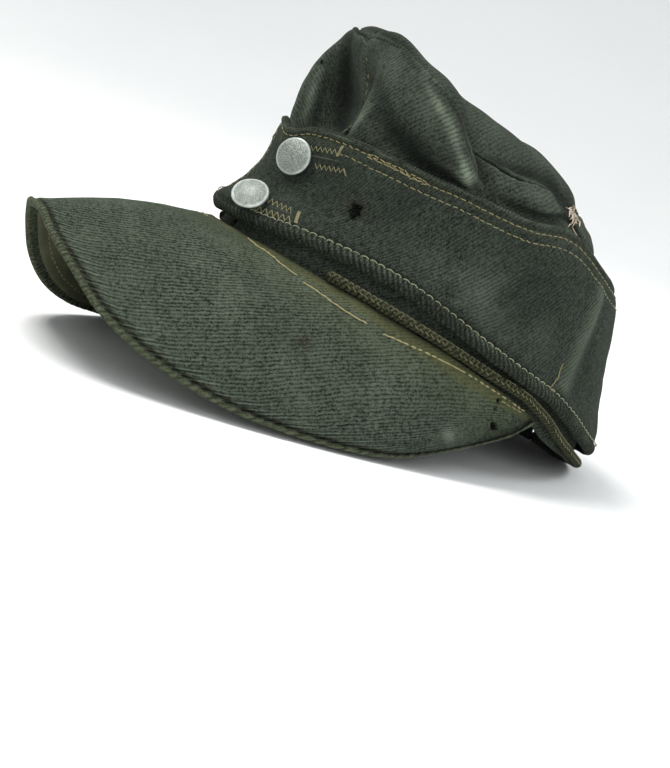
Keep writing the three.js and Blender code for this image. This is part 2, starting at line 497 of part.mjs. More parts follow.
function buttonBody(spec) {
  const p = flapPoint(spec.angle, spec.z);
  const q = flapPoint(spec.angle, spec.z + 1), r = flapPoint(spec.angle + 1, spec.z);
  const up = new THREE.Vector3(q[0] - p[0], q[1] - p[1], q[2] - p[2]).normalize();
  const across = new THREE.Vector3(r[0] - p[0], r[1] - p[1], r[2] - p[2]).normalize();
  const out = across.clone().cross(up).normalize();
  if (out.y > 0) out.negate();
  out.applyAxisAngle(up, BUTTON_TURN * DEG);
  across.applyAxisAngle(up, BUTTON_TURN * DEG);
  up.copy(out).cross(across).normalize();
  const b = BUTTON_STAND;
  // half section of the button: shank, back plate, rounded edge, domed face
  const profile = [[0, 0], [2.0, 0], [2.0, b], [BUTTON_RADIUS - 1.2, b - 0.2], [BUTTON_RADIUS - 0.2, b],
    [BUTTON_RADIUS, b + BUTTON_EDGE * 0.5], [BUTTON_RADIUS - 0.2, b + BUTTON_EDGE],
    [BUTTON_RADIUS - 0.9, b + 0.05 + BUTTON_EDGE], [BUTTON_RADIUS * 0.6, b + BUTTON_EDGE + BUTTON_RISE * 0.66],
    [BUTTON_RADIUS * 0.3, b + BUTTON_EDGE + BUTTON_RISE * 0.92], [0, b + BUTTON_EDGE + BUTTON_RISE]];
  const n = 16, verts = [], tris = [];
  for (const [rad, h] of profile) for (let k = 0; k < n; k++) {
    const t = k / n * 2 * Math.PI;
    const c = across.clone().multiplyScalar(Math.cos(t) * rad).add(up.clone().multiplyScalar(Math.sin(t) * rad))
      .add(out.clone().multiplyScalar(h + 0.9 + FLAP_LAP));
    verts.push(...stand([p[0] + c.x, p[1] + c.y, p[2] + c.z]));
  }
  for (let i = 0; i < profile.length - 1; i++) for (let k = 0; k < n; k++) {
    const a = i * n + k, b = i * n + (k + 1) % n, c = (i + 1) * n + (k + 1) % n, d = (i + 1) * n + k;
    tris.push(a, b, c, a, c, d);
  }
  return weld(verts, tris);
}

// ---- standing pose: lowest point just pressed into the floor, box centred ------------------
function settle() {
  let lo = Infinity, y0 = Infinity, y1 = -Infinity;
  const raw = (p) => [p[0], p[1] * Math.cos(TILT) + p[2] * Math.sin(TILT), -p[1] * Math.sin(TILT) + p[2] * Math.cos(TILT)];
  placed.dy = 0; placed.dz = 500;
  for (const b of [peakCover(), crownBand(), crownPanel('left'), flapSheet('left'), flapSheet('right')]) {
    for (let i = 0; i < b.pos.length; i += 3) {
      lo = Math.min(lo, b.pos[i + 2] - 500);
      y0 = Math.min(y0, b.pos[i + 1]); y1 = Math.max(y1, b.pos[i + 1]);
    }
  }
  placed.dz = -lo - REST_PRESS;
  placed.dy = -(y0 + y1) / 2;
}
settle();

function pierced(name, body) {
  let m = null;
  for (const h of HOLES) {
    if (h.piece !== name) continue;
    m = (m ?? toManifold(body)).subtract(toManifold(holeBar([h.x, h.y, h.z], [h.dx, h.dy, h.dz], h.radius, h.depth, 0.18)));
  }
  return m ? fromManifold(m) : body;
}

const COLOURS = { crown: 0x46544a, flap: 0x4d5c50, peak: 0x586452, underlay: 0x4c4c33, metal: 0x9aa09c, lining: 0xc9a79a };
const pieces = [
  ['crown_left_panel', crownPanel('left'), 'crown'],
  ['crown_right_panel', crownPanel('right'), 'crown'],
  ['crown_top_panel', crownTop(), 'crown'],
  ['crown_lining_patch', liningPatch(), 'lining'],
  ['crown_edge_seam', crownBand(), 'flap'],
  ['flap_left', flapSheet('left'), 'flap'],
  ['flap_right', flapSheet('right'), 'flap'],
  ['peak_cover', peakCover(), 'peak'],
  ['peak_underlay', peakUnderlay(), 'underlay'],
  ...BUTTONS.map((b) => [b.name, buttonBody(b), 'metal']),
];

const cap = new THREE.Group();
cap.name = 'field_cap';
for (const [name, whole, kind] of pieces) {
  const body = pierced(name, whole);
  const geometry = new THREE.BufferGeometry();
  geometry.setAttribute('position', new THREE.Float32BufferAttribute(body.pos, 3));
  geometry.setIndex(body.idx);
  geometry.computeVertexNormals();
  const metal = kind === 'metal';
  const mesh = new THREE.Mesh(geometry, new THREE.MeshStandardMaterial({
    color: COLOURS[kind], roughness: metal ? 0.5 : 0.95, metalness: metal ? 0.8 : 0,
  }));
  mesh.name = name;
  cap.add(mesh);
}
export default cap;
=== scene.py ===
"""Looks of the field cap: fine cloth meshes, stitches, threads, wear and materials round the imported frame."""
import math

import bpy
import numpy as np
from mathutils import Matrix, Vector
from mathutils.bvhtree import BVHTree


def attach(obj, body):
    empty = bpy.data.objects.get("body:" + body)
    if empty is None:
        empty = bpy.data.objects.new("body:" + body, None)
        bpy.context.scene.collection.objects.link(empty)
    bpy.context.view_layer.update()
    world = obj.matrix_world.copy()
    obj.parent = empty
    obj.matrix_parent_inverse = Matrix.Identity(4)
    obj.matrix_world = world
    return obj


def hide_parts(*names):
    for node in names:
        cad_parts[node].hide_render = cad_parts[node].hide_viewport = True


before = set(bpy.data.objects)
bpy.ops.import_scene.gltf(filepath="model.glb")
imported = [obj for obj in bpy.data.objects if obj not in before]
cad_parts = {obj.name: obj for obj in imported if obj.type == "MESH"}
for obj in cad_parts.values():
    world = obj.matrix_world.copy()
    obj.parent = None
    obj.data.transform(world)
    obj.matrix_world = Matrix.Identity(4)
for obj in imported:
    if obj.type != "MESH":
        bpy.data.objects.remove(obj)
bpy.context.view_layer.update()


def rows(names, *values):
    """A short table: column names, then one row for each section or fold."""
    names = names.split()
    return [dict(zip(names, v)) for v in values]


# ---- sizes and tables, millimetres in the cap's own frame (rim plane at z = 0, front toward -Y) ----
RIM_FRONT = 99
TUCK_DOWN = 2.8
TUCK_IN = 1.5
RIM_REAR = 93
RIM_SIDE = 81
FRONT_TAPER = 0.075
CLOTH = 1.6
TOP_CLOTH = 1.6
LINING = 1.0
LINING_DEPTH = 4.6
FLAP_CLOTH = 2.2
UNDER_FLAP = 6.6
FLAP_ROLL = 3.1
FLAP_BEAD = 1.5
BAND_RADIUS = 1.9
BAND_START = 36
PEAK_THICK = 2.4
PEAK_EDGE = 1.9
UNDERLAY = 1.0
UNDERLAY_INSET = 4.0
PEAK_END_ANGLE = 99
GAP = 0.35
BUTTON_RADIUS = 7.3
BUTTON_RISE = 1.5
BUTTON_EDGE = 1.1
FLAP_EDGE = -8.5
FLAP_LAP = 1.0
BUTTON_STAND = 1.7
BUTTON_TURN = 13
REST_TILT = 15.1
STAND_Y, STAND_Z = 39.7521, 35.6106
RIM_LINE = rows("angle z",
    (0, 0),
    (88, 0),
    (101, -3),
    (112, -7.5),
    (125, -10.5),
    (142, -12),
    (180, -12),
)
FLAP_SECTION = rows("z front side rear",
    (-16, 104, 87, 99.5),
    (-6, 104, 87, 98.5),
    (3, 101.2, 86.5, 96),
    (8, 104.6, 85.7, 93),
    (13, 102, 84.2, 89.8),
    (22, 97.3, 82.5, 84.5),
    (31, 95.3, 80.5, 79.5),
    (43, 96.5, 78, 73),
    (55, 96, 74, 64.5),
    (63, 93, 67.5, 50.5),
    (68, 91, 61, 38.5),
    (75, 87, 51, 22),
)
FLAP_LINE = rows("angle low left right",
    (0, 2.5, 44, 44),
    (8, 3, 48, 43.5),
    (17, 4.5, 50.5, 43.5),
    (25, 6.5, 51.8, 44.5),
    (35, 8.5, 53, 47),
    (45, 10, 54, 50.5),
    (56, 10, 56.2, 54.5),
    (66, 8.5, 57.5, 57),
    (76, 6.5, 60, 60),
    (86, 5, 65, 64.5),
    (92, 4.5, 65.2, 65),
    (98, 4, 64, 64),
    (109, 1, 61, 61),
    (122, -3, 59.2, 59.2),
    (145, -5, 60, 60),
    (180, -5, 60, 60),
)
CROWN_LEFT = rows("angle wx wy wz sx sy sz tx ty tz",
    (0, 0, -78, 46, 0, -73, 67, 0, -88, 90),
    (8, 9, -80, 47, 9, -77, 69, 9, -90, 91),
    (18, 22, -80, 48, 18, -84, 71, 20, -90, 91),
    (30, 34, -73, 48, 32, -82, 72, 33, -87, 89),
    (42, 46, -62, 48, 44, -73, 72, 42, -82, 86),
    (52, 54, -51, 48, 53, -62, 68, 47, -72, 83),
    (59, 59, -43, 48, 57, -52, 64, 46, -61, 78),
    (65, 60, -35, 48, 50, -44, 64, 43, -51, 72),
    (73, 66, -25, 48, 57, -34, 63, 50, -39, 71),
    (86, 70, -7, 48, 61, -17, 65, 49, -24, 73),
    (100, 69, 11, 48, 58, 2, 67, 44, -8, 77),
    (115, 62, 28, 48, 51, 18, 68.5, 39, 9, 77),
    (130, 51, 39, 48, 42, 27, 70, 31.5, 22.5, 76.5),
    (150, 33, 50, 48, 24, 37, 71.5, 18, 33, 80.5),
    (180, 0, 58, 48, 0, 41, 72, 0, 37.5, 81.5),
)
CROWN_RIGHT = rows("angle wx wy wz sx sy sz tx ty tz",
    (0, 0, -78, 46, 0, -73, 67, 0, -88, 90),
    (9, -10, -72, 47, -12, -70, 66, -10, -88, 91.5),
    (18, -21, -72, 48, -22, -72, 69, -20, -84, 94),
    (27, -33, -80, 50, -32.3, -83, 72, -29, -79.5, 95),
    (38, -43, -70, 50, -43, -75, 72, -36, -71, 97),
    (50, -51, -54.5, 49, -52.5, -58.5, 72, -43, -61, 95),
    (62, -60, -41, 48, -60, -46, 69, -48, -50, 90),
    (72, -65, -27, 48, -57, -34, 66, -49, -39, 81),
    (86, -69, -7, 48, -58.5, -17, 65, -50, -24, 77),
    (100, -68, 11, 48, -55.5, 2, 67, -46, -8, 78),
    (115, -62, 28, 48, -51, 18, 68.5, -40, 9, 77),
    (130, -51, 39, 48, -42, 27, 70, -31.5, 22.5, 76.5),
    (150, -33, 50, 48, -24, 37, 71.5, -18, 33, 80.5),
    (180, 0, 58, 48, 0, 41, 72, 0, 37.5, 81.5),
)
TOP_LINE = rows("angle y z crease",
    (0, -74, 95.5, 0.4),
    (20, -70, 96, 2.4),
    (40, -58, 93.2, 2.5),
    (60, -43, 92.4, 2),
    (90, -16, 92.2, 3),
    (115, 4, 92.6, 3.5),
    (140, 20, 91.3, 2),
    (180, 29, 89, 0),
)
PEAK_LINE = rows("at x y left right",
    (0, 0, -172, -31.5, -31.5),
    (0.05, 6.8, -171.2, -32.5, -32),
    (0.1, 13.5, -168.9, -36, -32.5),
    (0.15, 20, -165.2, -39.5, -35),
    (0.2, 26.3, -160.2, -43.2, -39.5),
    (0.3, 38, -147.2, -51.6, -50.7),
    (0.4, 48.4, -131.6, -56.4, -58.8),
    (0.5, 57.8, -114.3, -58.4, -62),
    (0.6, 66.6, -95.6, -58.2, -61),
    (0.7, 74.5, -75, -55, -57.5),
    (0.8, 81, -52, -49.5, -51.5),
    (0.87, 84.4, -34.5, -43, -44.5),
    (0.93, 86.2, -18.8, -33, -34),
    (0.96, 86.9, -6, -23.8, -24.5),
    (0.985, 86.4, 6.5, -14, -14.5),
    (1, 84, 15.6, -5.2, -5.2),
)
HOLES = rows("piece x y z dx dy dz radius depth",
    ('flap_left', 37.6, -74.9, 27.6, 0.5, -0.87, 0, 1.5, 7),
    ('peak_cover', 85.4, -3.8, -14.4, 0.85, 0, 0.5, 1.4, 6),
    ('crown_right_panel', -31.8, -81.4, 74.9, -0.35, -0.9, 0.2, 1.1, 6),
)
BUTTONS = rows("name angle z",
    ('button_upper', 8, 34.75),
    ('button_lower', 7, 11.5),
)
TEAR = dict(angle=116, reach=15, drop=0.06, back=0.05)

DEG = math.pi / 180
TILT = REST_TILT * DEG


# ---- small maths -------------------------------------------------------------------------------
def from_table(table, key, name, x):
    """A smooth value out of a table, through every row."""
    k = np.array([r[key] for r in table], float)
    v = np.array([r[name] for r in table], float)
    x = np.clip(np.asarray(x, float), k[0], k[-1])
    slope = np.zeros_like(v)
    step = np.diff(v) / np.diff(k)
    slope[1:-1] = 0.5 * (step[1:] + step[:-1])
    i = np.clip(np.searchsorted(k, x, side="left") - 1, 0, len(k) - 2)
    h = k[i + 1] - k[i]
    t = (x - k[i]) / h
    t2, t3 = t * t, t * t * t
    return ((2 * t3 - 3 * t2 + 1) * v[i] + (t3 - 2 * t2 + t) * h * slope[i]
            + (-2 * t3 + 3 * t2) * v[i + 1] + (t3 - t2) * h * slope[i + 1])


def bump(v, c, w):
    return np.exp(-(((v - c) / w) ** 2))


def step01(v, a, b):
    t = np.clip((v - a) / (b - a), 0, 1)
    return t * t * (3 - 2 * t)


def mix(a, b, t):
    return a + (b - a) * t


def ripples(p, size, seed, n=12):
    """Smooth unevenness in space, about -1 to 1, with waves of about that size."""
    r = np.random.default_rng(seed)
    k = r.normal(size=(n, 3))
    k /= np.linalg.norm(k, axis=1)[:, None]
    k *= (2 * math.pi / size * r.uniform(0.6, 1.6, n))[:, None]
    ph = r.uniform(0, 2 * math.pi, n)
    out = np.zeros(p.shape[:-1])
    for a, b in zip(k, ph):
        out += np.sin(p @ a + b)
    return out / math.sqrt(n * 0.9)


def smoothed(p, wu, wv):
    """Each grid point replaced by the mean of its neighbours, so many to each side."""
    for axis, w in ((0, wu), (1, wv)):
        pad = [(0, 0)] * p.ndim
        pad[axis] = (w + 1, w)
        c = np.cumsum(np.pad(p, pad, mode="edge"), axis)
        n = p.shape[axis]
        p = (np.take(c, np.arange(2 * w + 1, 2 * w + 1 + n), axis) - np.take(c, np.arange(n), axis)) / (2 * w + 1)
    return p


def unit(v):
    return v / np.maximum(np.linalg.norm(v, axis=-1, keepdims=True), 1e-12)


# ---- the cap's surfaces ------------------------------------------------------------------------
def rim_height(angle):
    return from_table(RIM_LINE, "angle", "z", np.abs(angle))


def taper(a):
    return 1 - np.where(np.cos(a) > 0, FRONT_TAPER * np.abs(np.sin(2 * a)) ** 1.3, 0)


def rim_point(angle, out=0):
    a = np.asarray(angle, float) * DEG
    f = taper(a)
    end = np.where(np.cos(a) > 0, RIM_FRONT, RIM_REAR)
    return np.stack([(RIM_SIDE * f + out) * np.sin(a), -(end * f + out) * np.cos(a), rim_height(angle)], -1)


def flap_point(angle, z, inward=0):
    angle, z, inward = np.broadcast_arrays(np.asarray(angle, float), np.asarray(z, float), np.asarray(inward, float))
    a = angle * DEG
    c, s = np.cos(a), np.sin(a)
    side = from_table(FLAP_SECTION, "z", "side", z) - inward
    end = np.where(c > 0, from_table(FLAP_SECTION, "z", "front", z), from_table(FLAP_SECTION, "z", "rear", z)) - inward
    return np.stack([side * taper(a) * s, -end * taper(a) * c, z], -1)


def flap_low(angle):
    return from_table(FLAP_LINE, "angle", "low", np.abs(angle))


def flap_high(angle):
    angle = np.asarray(angle, float)
    a = np.abs(angle)
    # the right half's front corner has slipped a little below the left one's
    slip = 4.5 * np.exp(-((a / 22) ** 2))
    return np.where(angle < FLAP_EDGE - 0.2, from_table(FLAP_LINE, "angle", "right", a) - slip, from_table(FLAP_LINE, "angle", "left", a))


def crown_point(table, angle, v):
    side = 1 if table[2]["wx"] > 0 else -1
    at = lambda c: from_table(table, "angle", c, angle)
    tuck = np.clip((126 - np.asarray(angle, float)) / 18, 0, 1)
    base = rim_point(side * angle, -TUCK_IN * tuck) - np.stack([0 * tuck, 0 * tuck, TUCK_DOWN * tuck], -1)
    low = flap_point(side * angle, mix(base[..., 2], at("wz"), 0.42), UNDER_FLAP)
    pick = lambda n: np.stack([at(n + "x"), at(n + "y"), at(n + "z")], -1)
    knots = np.stack([base, low, pick("w"), pick("s"), pick("t")], 0)
    n = len(knots) - 1
    tangent = np.zeros_like(knots)
    tangent[0], tangent[n] = knots[1] - knots[0], knots[n] - knots[n - 1]
    tangent[1:n] = 0.5 * (knots[2:] - knots[:-2])
    f = np.clip(v, 0, 1) * n
    i = np.minimum(n - 1, np.floor(f).astype(int))
    t = (f - i)[..., None]
    t2, t3 = t * t, t * t * t
    take = lambda arr, j: np.take_along_axis(arr, np.broadcast_to(j[None, ..., None], (1,) + arr.shape[1:]), 0)[0]
    return ((2 * t3 - 3 * t2 + 1) * take(knots, i) + (t3 - 2 * t2 + t) * take(tangent, i)
            + (-2 * t3 + 3 * t2) * take(knots, i + 1) + (t3 - t2) * take(tangent, i + 1))


def crown_at(sign, angle, v):
    """The crown wall on one side (sign +1 left, -1 right), held inside the flap where the flap covers it."""
    p = crown_point(CROWN_LEFT if sign > 0 else CROWN_RIGHT, angle, v)
    around = np.arctan2(p[..., 0] / RIM_SIDE, -p[..., 1] / RIM_REAR) / DEG
    level = np.clip(p[..., 2], -16, 75)
    above, below = flap_point(around, level + 1), flap_point(around, level - 1)
    slope = (np.hypot(above[..., 0], above[..., 1]) - np.hypot(below[..., 0], below[..., 1])) / 2
    room = np.maximum(4.1, 3.6 * np.hypot(1, slope))
    edge = flap_point(around, level, FLAP_CLOTH / 2 + room)
    ratio = np.hypot(p[..., 0], p[..., 1]) / np.hypot(edge[..., 0], edge[..., 1])
    hold = step01(flap_high(around) + 6.5 - p[..., 2], 0, 4)
    f = np.where(ratio > 1, mix(1, 1 / np.maximum(ratio, 1e-6), hold), 1)
    return np.stack([p[..., 0] * f, p[..., 1] * f, p[..., 2]], -1)


def top_point(angle, w):
    a = np.abs(angle)
    s = np.where((angle >= 0)[..., None], crown_at(1, a, np.ones_like(a)), crown_at(-1, a, np.ones_like(a)))
    at = lambda c: from_table(TOP_LINE, "angle", c, a)
    rise = np.sin(np.clip(w, 0, 1) * math.pi / 2) ** 0.9
    x = s[..., 0] * (1 - w)
    y = mix(s[..., 1], at("y"), w)
    z = mix(s[..., 2], at("z"), rise) - at("crease") * bump(w, 0.13, 0.12) * np.clip(w / 0.05, 0, 1)
    return np.stack([x, y, z], -1)


def peak_point(at, w):
    at, w = np.broadcast_arrays(np.asarray(at, float), np.asarray(w, float))
    a = np.abs(at)
    s = rim_point(a * PEAK_END_ANGLE, 1.6)
    ez = np.where(at >= 0, from_table(PEAK_LINE, "at", "left", a), from_table(PEAK_LINE, "at", "right", a))
    arch = 3.5 * np.sin(math.pi * w) * (1 - a ** 4)
    x = mix(s[..., 0], from_table(PEAK_LINE, "at", "x", a), w) + arch * 0.6 * np.sin(a * math.pi / 2)
    y = mix(s[..., 1], from_table(PEAK_LINE, "at", "y", a), w)
    z = mix(s[..., 2] - 1.5, ez, w) + arch
    return np.stack([x * np.where(at < 0, -1, 1), y, z], -1)


def stand(p):
    """From the cap's own frame in millimetres to the row's frame in metres, as it stands on the floor."""
    p = np.asarray(p, float)
    y = p[..., 1] * math.cos(TILT) + p[..., 2] * math.sin(TILT) + STAND_Y
    z = -p[..., 1] * math.sin(TILT) + p[..., 2] * math.cos(TILT) + STAND_Z
    return np.stack([p[..., 0], y, np.maximum(0, z)], -1) / 1000


def turn(v):
    v = np.asarray(v, float)
    return np.stack([v[..., 0], v[..., 1] * math.cos(TILT) + v[..., 2] * math.sin(TILT),
                     -v[..., 1] * math.sin(TILT) + v[..., 2] * math.cos(TILT)], -1)


# ---- meshes ------------------------------------------------------------------------------------
def grid_normals(p, closed_u=False, closed_v=False):
    def diff(axis, closed):
        if closed:
            return np.roll(p, -1, axis) - np.roll(p, 1, axis)
        return np.gradient(p, axis=axis)
    return unit(np.cross(diff(0, closed_u), diff(1, closed_v)))


def arc(p, axis, drop=None):
    """Length along one way of a grid, from its start."""
    d = np.diff(p, axis=axis)
    if drop is not None:
        d = np.delete(d, drop, -1)
    d = np.linalg.norm(d, axis=-1)
    z = np.zeros_like(np.take(d, [0], axis))
    return np.concatenate([z, np.cumsum(d, axis)], axis)


def quads(nu, nv, closed_u=False, closed_v=False, start=0, flip=False):
    iu = np.arange(nu if closed_u else nu - 1)
    iv = np.arange(nv if closed_v else nv - 1)
    a = iu[:, None] * nv + iv[None]
    b = ((iu[:, None] + 1) % nu) * nv + iv[None]
    c = ((iu[:, None] + 1) % nu) * nv + (iv[None] + 1) % nv
    d = iu[:, None] * nv + (iv[None] + 1) % nv
    f = np.stack([a, b, c, d], -1).reshape(-1, 4) + start
    return f[:, ::-1] if flip else f


def make(name, verts, faces, material, uv=None, tone=None, smooth=True):
    """A mesh object from points in metres, four-cornered faces (a corner given twice makes three)."""
    faces = np.asarray(faces, int)
    me = bpy.data.meshes.new(name)
    tri = faces[:, 2] == faces[:, 3]
    loops = np.concatenate([faces[~tri].reshape(-1), faces[tri][:, :3].reshape(-1)])
    sizes = np.concatenate([np.full((~tri).sum(), 4), np.full(tri.sum(), 3)])
    me.vertices.add(len(verts))
    me.vertices.foreach_set("co", np.asarray(verts, np.float32).reshape(-1))
    me.loops.add(len(loops))
    me.loops.foreach_set("vertex_index", loops.astype(np.int32))
    me.polygons.add(len(sizes))
    me.polygons.foreach_set("loop_start", np.concatenate([[0], np.cumsum(sizes)[:-1]]).astype(np.int32))
    me.polygons.foreach_set("use_smooth", np.full(len(sizes), smooth))
    if uv is not None:
        layer = me.uv_layers.new(name="cloth")
        layer.data.foreach_set("uv", np.asarray(uv, np.float32)[loops].reshape(-1))
    if tone is not None:
        att = me.color_attributes.new("tone", "FLOAT_COLOR", "POINT")
        full = np.concatenate([np.clip(tone, 0, 1), np.ones((len(tone), 1))], 1) if tone.shape[1] == 3 else tone
        att.data.foreach_set("color", full.astype(np.float32).reshape(-1))
    me.update(calc_edges=True)
    me.validate()
    me.materials.append(material)
    o = bpy.data.objects.new(name, me)
    bpy.context.scene.collection.objects.link(o)
    return o


def cut_hole(p, centre, radius, seed):
    """Draws grid points near a ragged outline onto it and tells which cells fall inside. Frame of p, millimetres."""
    c = np.array(centre, float)
    k = np.unravel_index(np.argmin(np.sum((p - c) ** 2, -1)), p.shape[:2])
    c = p[k]
    e1 = unit(p[min(k[0] + 2, p.shape[0] - 1), k[1]] - p[max(k[0] - 2, 0), k[1]])
    e2 = p[k[0], min(k[1] + 2, p.shape[1] - 1)] - p[k[0], max(k[1] - 2, 0)]
    e2 = unit(e2 - e1 * np.dot(e1, e2))
    d = p - c
    x, y = d @ e1, d @ e2
    th = np.arctan2(y, x)
    r = radius * (1 + 0.22 * np.sin(2 * th + seed) + 0.16 * np.sin(5 * th + 2 * seed) + 0.08 * np.sin(9 * th))
    dist = np.linalg.norm(d, axis=-1)
    near_ = (dist > 0.5 * r) & (dist < 1.15 * r)
    q = p.copy()
    q[near_] = c + d[near_] * (r / np.maximum(dist, 1e-6))[near_][:, None]
    inside = dist <= 1.15 * r
    cells = inside[:-1, :-1] & inside[1:, :-1] & inside[1:, 1:] & inside[:-1, 1:]
    return q, cells, c, (e1, e2), dist / r


def cloth(name, p, half, material, uv, tone, keep=None, lift=None, gone=None):
    """A closed cloth body: middle surface p[u, v] in the cap's frame, half thickness, outer side detail lift.
    Cells marked as gone are left out on both sides and walled round."""
    nu, nv = p.shape[:2]
    n = grid_normals(p)
    centre = np.array([0, 0, 30.0])
    if np.sum(n * (p - centre)) < 0:
        n = -n
    over = half if lift is None else half + lift
    outer, inner = p + n * over[..., None], p - n * half[..., None]
    if keep is not None:
        outer, inner = keep(outer), keep(inner)
    verts = np.concatenate([outer.reshape(-1, 3), inner.reshape(-1, 3)])
    count = nu * nv
    if gone is None:
        gone = np.zeros((nu - 1, nv - 1), bool)
    keep_cells = ~gone.reshape(-1)
    f = [quads(nu, nv)[keep_cells], quads(nu, nv, start=count, flip=True)[keep_cells]]
    for i, j in zip(*np.nonzero(gone)):
        at = i * nv + j
        for di, dj, a0, b0 in ((-1, 0, at, at + 1), (1, 0, at + nv + 1, at + nv), (0, -1, at + nv, at), (0, 1, at + 1, at + nv + 1)):
            if not gone[i + di, j + dj]:
                f.append(np.array([[a0, b0, b0 + count, a0 + count]]))
    border = np.concatenate([np.arange(nu) * nv, (nu - 1) * nv + np.arange(1, nv),
                             np.arange(nu - 2, -1, -1) * nv + nv - 1, np.arange(nv - 2, 0, -1)])
    nxt = np.roll(border, -1)
    f.append(np.stack([border, border + count, nxt + count, nxt], -1))
    faces = np.concatenate(f)
    # turn all faces outward
    a, b, c = verts[faces[:, 0]], verts[faces[:, 1]], verts[faces[:, 2]]
    d = verts[faces[:, 3]]
    vol = np.sum(a * np.cross(b, c)) + np.sum(a * np.cross(c, d))
    if vol < 0:
        faces = faces[:, ::-1]
    uv2 = np.concatenate([uv.reshape(-1, 2)] * 2)
    tone2 = np.concatenate([tone.reshape(-1, tone.shape[-1])] * 2)
    return make(name, stand(verts), faces, material, uv2, tone2), outer, n


def tubes(name, paths, material, sides=6, tone=None):
    """One mesh of many small threads. Each path is (points in metres, radius or radii in metres)."""
    vs, fs, uvs, base = [], [], [], 0
    for pts, rad in paths:
        pts = np.asarray(pts, float)
        m = len(pts)
        rad = np.broadcast_to(np.asarray(rad, float), (m,)).copy()
        t = unit(np.gradient(pts, axis=0))
        ref = np.array([0, 0, 1.0]) if abs(t[0, 2]) < 0.9 else np.array([1.0, 0, 0])
        u = unit(np.cross(t, ref))
        v = np.cross(t, u)
        ang = np.arange(sides) / sides * 2 * math.pi
        ring = pts[:, None] + rad[:, None, None] * (np.cos(ang)[None, :, None] * u[:, None] + np.sin(ang)[None, :, None] * v[:, None])
        vs.append(ring.reshape(-1, 3))
        vs.append(pts[[0, -1]] + t[[0, -1]] * rad[[0, -1], None] * np.array([[-0.6], [0.6]]))
        f = quads(m, sides, closed_v=True, start=base)
        j = np.arange(sides)
        e0, e1 = base + m * sides, base + m * sides + 1
        fan0 = np.stack([np.full(sides, e0), base + (j + 1) % sides, base + j, base + j], -1)
        last = base + (m - 1) * sides
        fan1 = np.stack([np.full(sides, e1), last + j, last + (j + 1) % sides, last + (j + 1) % sides], -1)
        fs += [f, fan0, fan1]
        length = np.concatenate([[0], np.cumsum(np.linalg.norm(np.diff(pts, axis=0), axis=1))]) * 1000
        uvr = np.stack(np.broadcast_arrays(length[:, None], ang[None] / (2 * math.pi) * 2), -1).reshape(-1, 2)
        uvs += [uvr, np.array([[length[0], 0], [length[-1], 0]])]
        base += m * sides + 2
    o = make(name, np.concatenate(vs), np.concatenate(fs), material, np.concatenate(uvs))
    return o


# ---- camera: the photo's angle to the cap, above the floor -------------------------------------
AZIMUTH, CAP_ELEVATION, ROLL = 55.0, 2.0, 31.172
DISTANCE, ACROSS, UPWARD, SCALE = 700.0, 68.668, 53.012, 2.369
PHOTO_W, PHOTO_H = 670, 768
a_, e_, r_ = AZIMUTH * DEG, CAP_ELEVATION * DEG, ROLL * DEG
back = np.array([math.sin(a_) * math.cos(e_), -math.cos(a_) * math.cos(e_), math.sin(e_)])
right0 = np.array([math.cos(a_), math.sin(a_), 0.0])
up0 = np.cross(back, right0)
RIGHT = math.cos(r_) * right0 + math.sin(r_) * up0
UP = -math.sin(r_) * right0 + math.cos(r_) * up0
EYE = back * DISTANCE - RIGHT * ACROSS / SCALE - UP * UPWARD / SCALE
FOCAL_PX = SCALE * DISTANCE
eye = np.array([EYE[0], EYE[1] * math.cos(TILT) + EYE[2] * math.sin(TILT) + STAND_Y,
                -EYE[1] * math.sin(TILT) + EYE[2] * math.cos(TILT) + STAND_Z]) / 1000
cam_data = bpy.data.cameras.new("camera")
cam_data.sensor_width = 36
cam_data.lens = FOCAL_PX / PHOTO_H * 36
cam_data.clip_start = 0.02
cam_data.clip_end = 50
camera = bpy.data.objects.new("camera", cam_data)
bpy.context.scene.collection.objects.link(camera)
m = Matrix.Identity(4)
for k, axis in enumerate((turn(RIGHT), turn(UP), turn(back))):
    for j in range(3):
        m[j][k] = axis[j]
m.translation = Vector(eye)
camera.matrix_world = m
bpy.context.scene.camera = camera


def ray(px, py):
    """The line of sight through a place in the photo's frame: start and direction, in metres."""
    d = -turn(back) + (px - PHOTO_W / 2) / FOCAL_PX * turn(RIGHT) - (py - PHOTO_H / 2) / FOCAL_PX * turn(UP)
    return Vector(eye), Vector(unit(d))


def in_photo(p):
    """Where points of the cap's frame, in millimetres, come in the photo's frame, in pixels."""
    d = p - EYE
    deep = -(d @ back)
    return np.stack([PHOTO_W / 2 + FOCAL_PX * (d @ RIGHT) / deep, PHOTO_H / 2 - FOCAL_PX * (d @ UP) / deep], -1)


def to_line(q, pts):
    """Distance of pixel places from a bent line, which side of it they are on, and how far along they come."""
    best = np.full(q.shape[:-1], 1e9)
    side = np.zeros(q.shape[:-1])
    along = np.zeros(q.shape[:-1])
    pts = np.array(pts, float)
    for i, (a, b) in enumerate(zip(pts[:-1], pts[1:])):
        ab = b - a
        f = np.clip(((q - a) @ ab) / (ab @ ab), 0, 1)
        off = q - a - f[..., None] * ab
        dist = np.hypot(off[..., 0], off[..., 1])
        s = np.sign(ab[0] * off[..., 1] - ab[1] * off[..., 0])
        near_ = dist < best
        best = np.where(near_, dist, best)
        side = np.where(near_, s, side)
        along = np.where(near_, (i + f) / (len(pts) - 1), along)
    return best, side, along


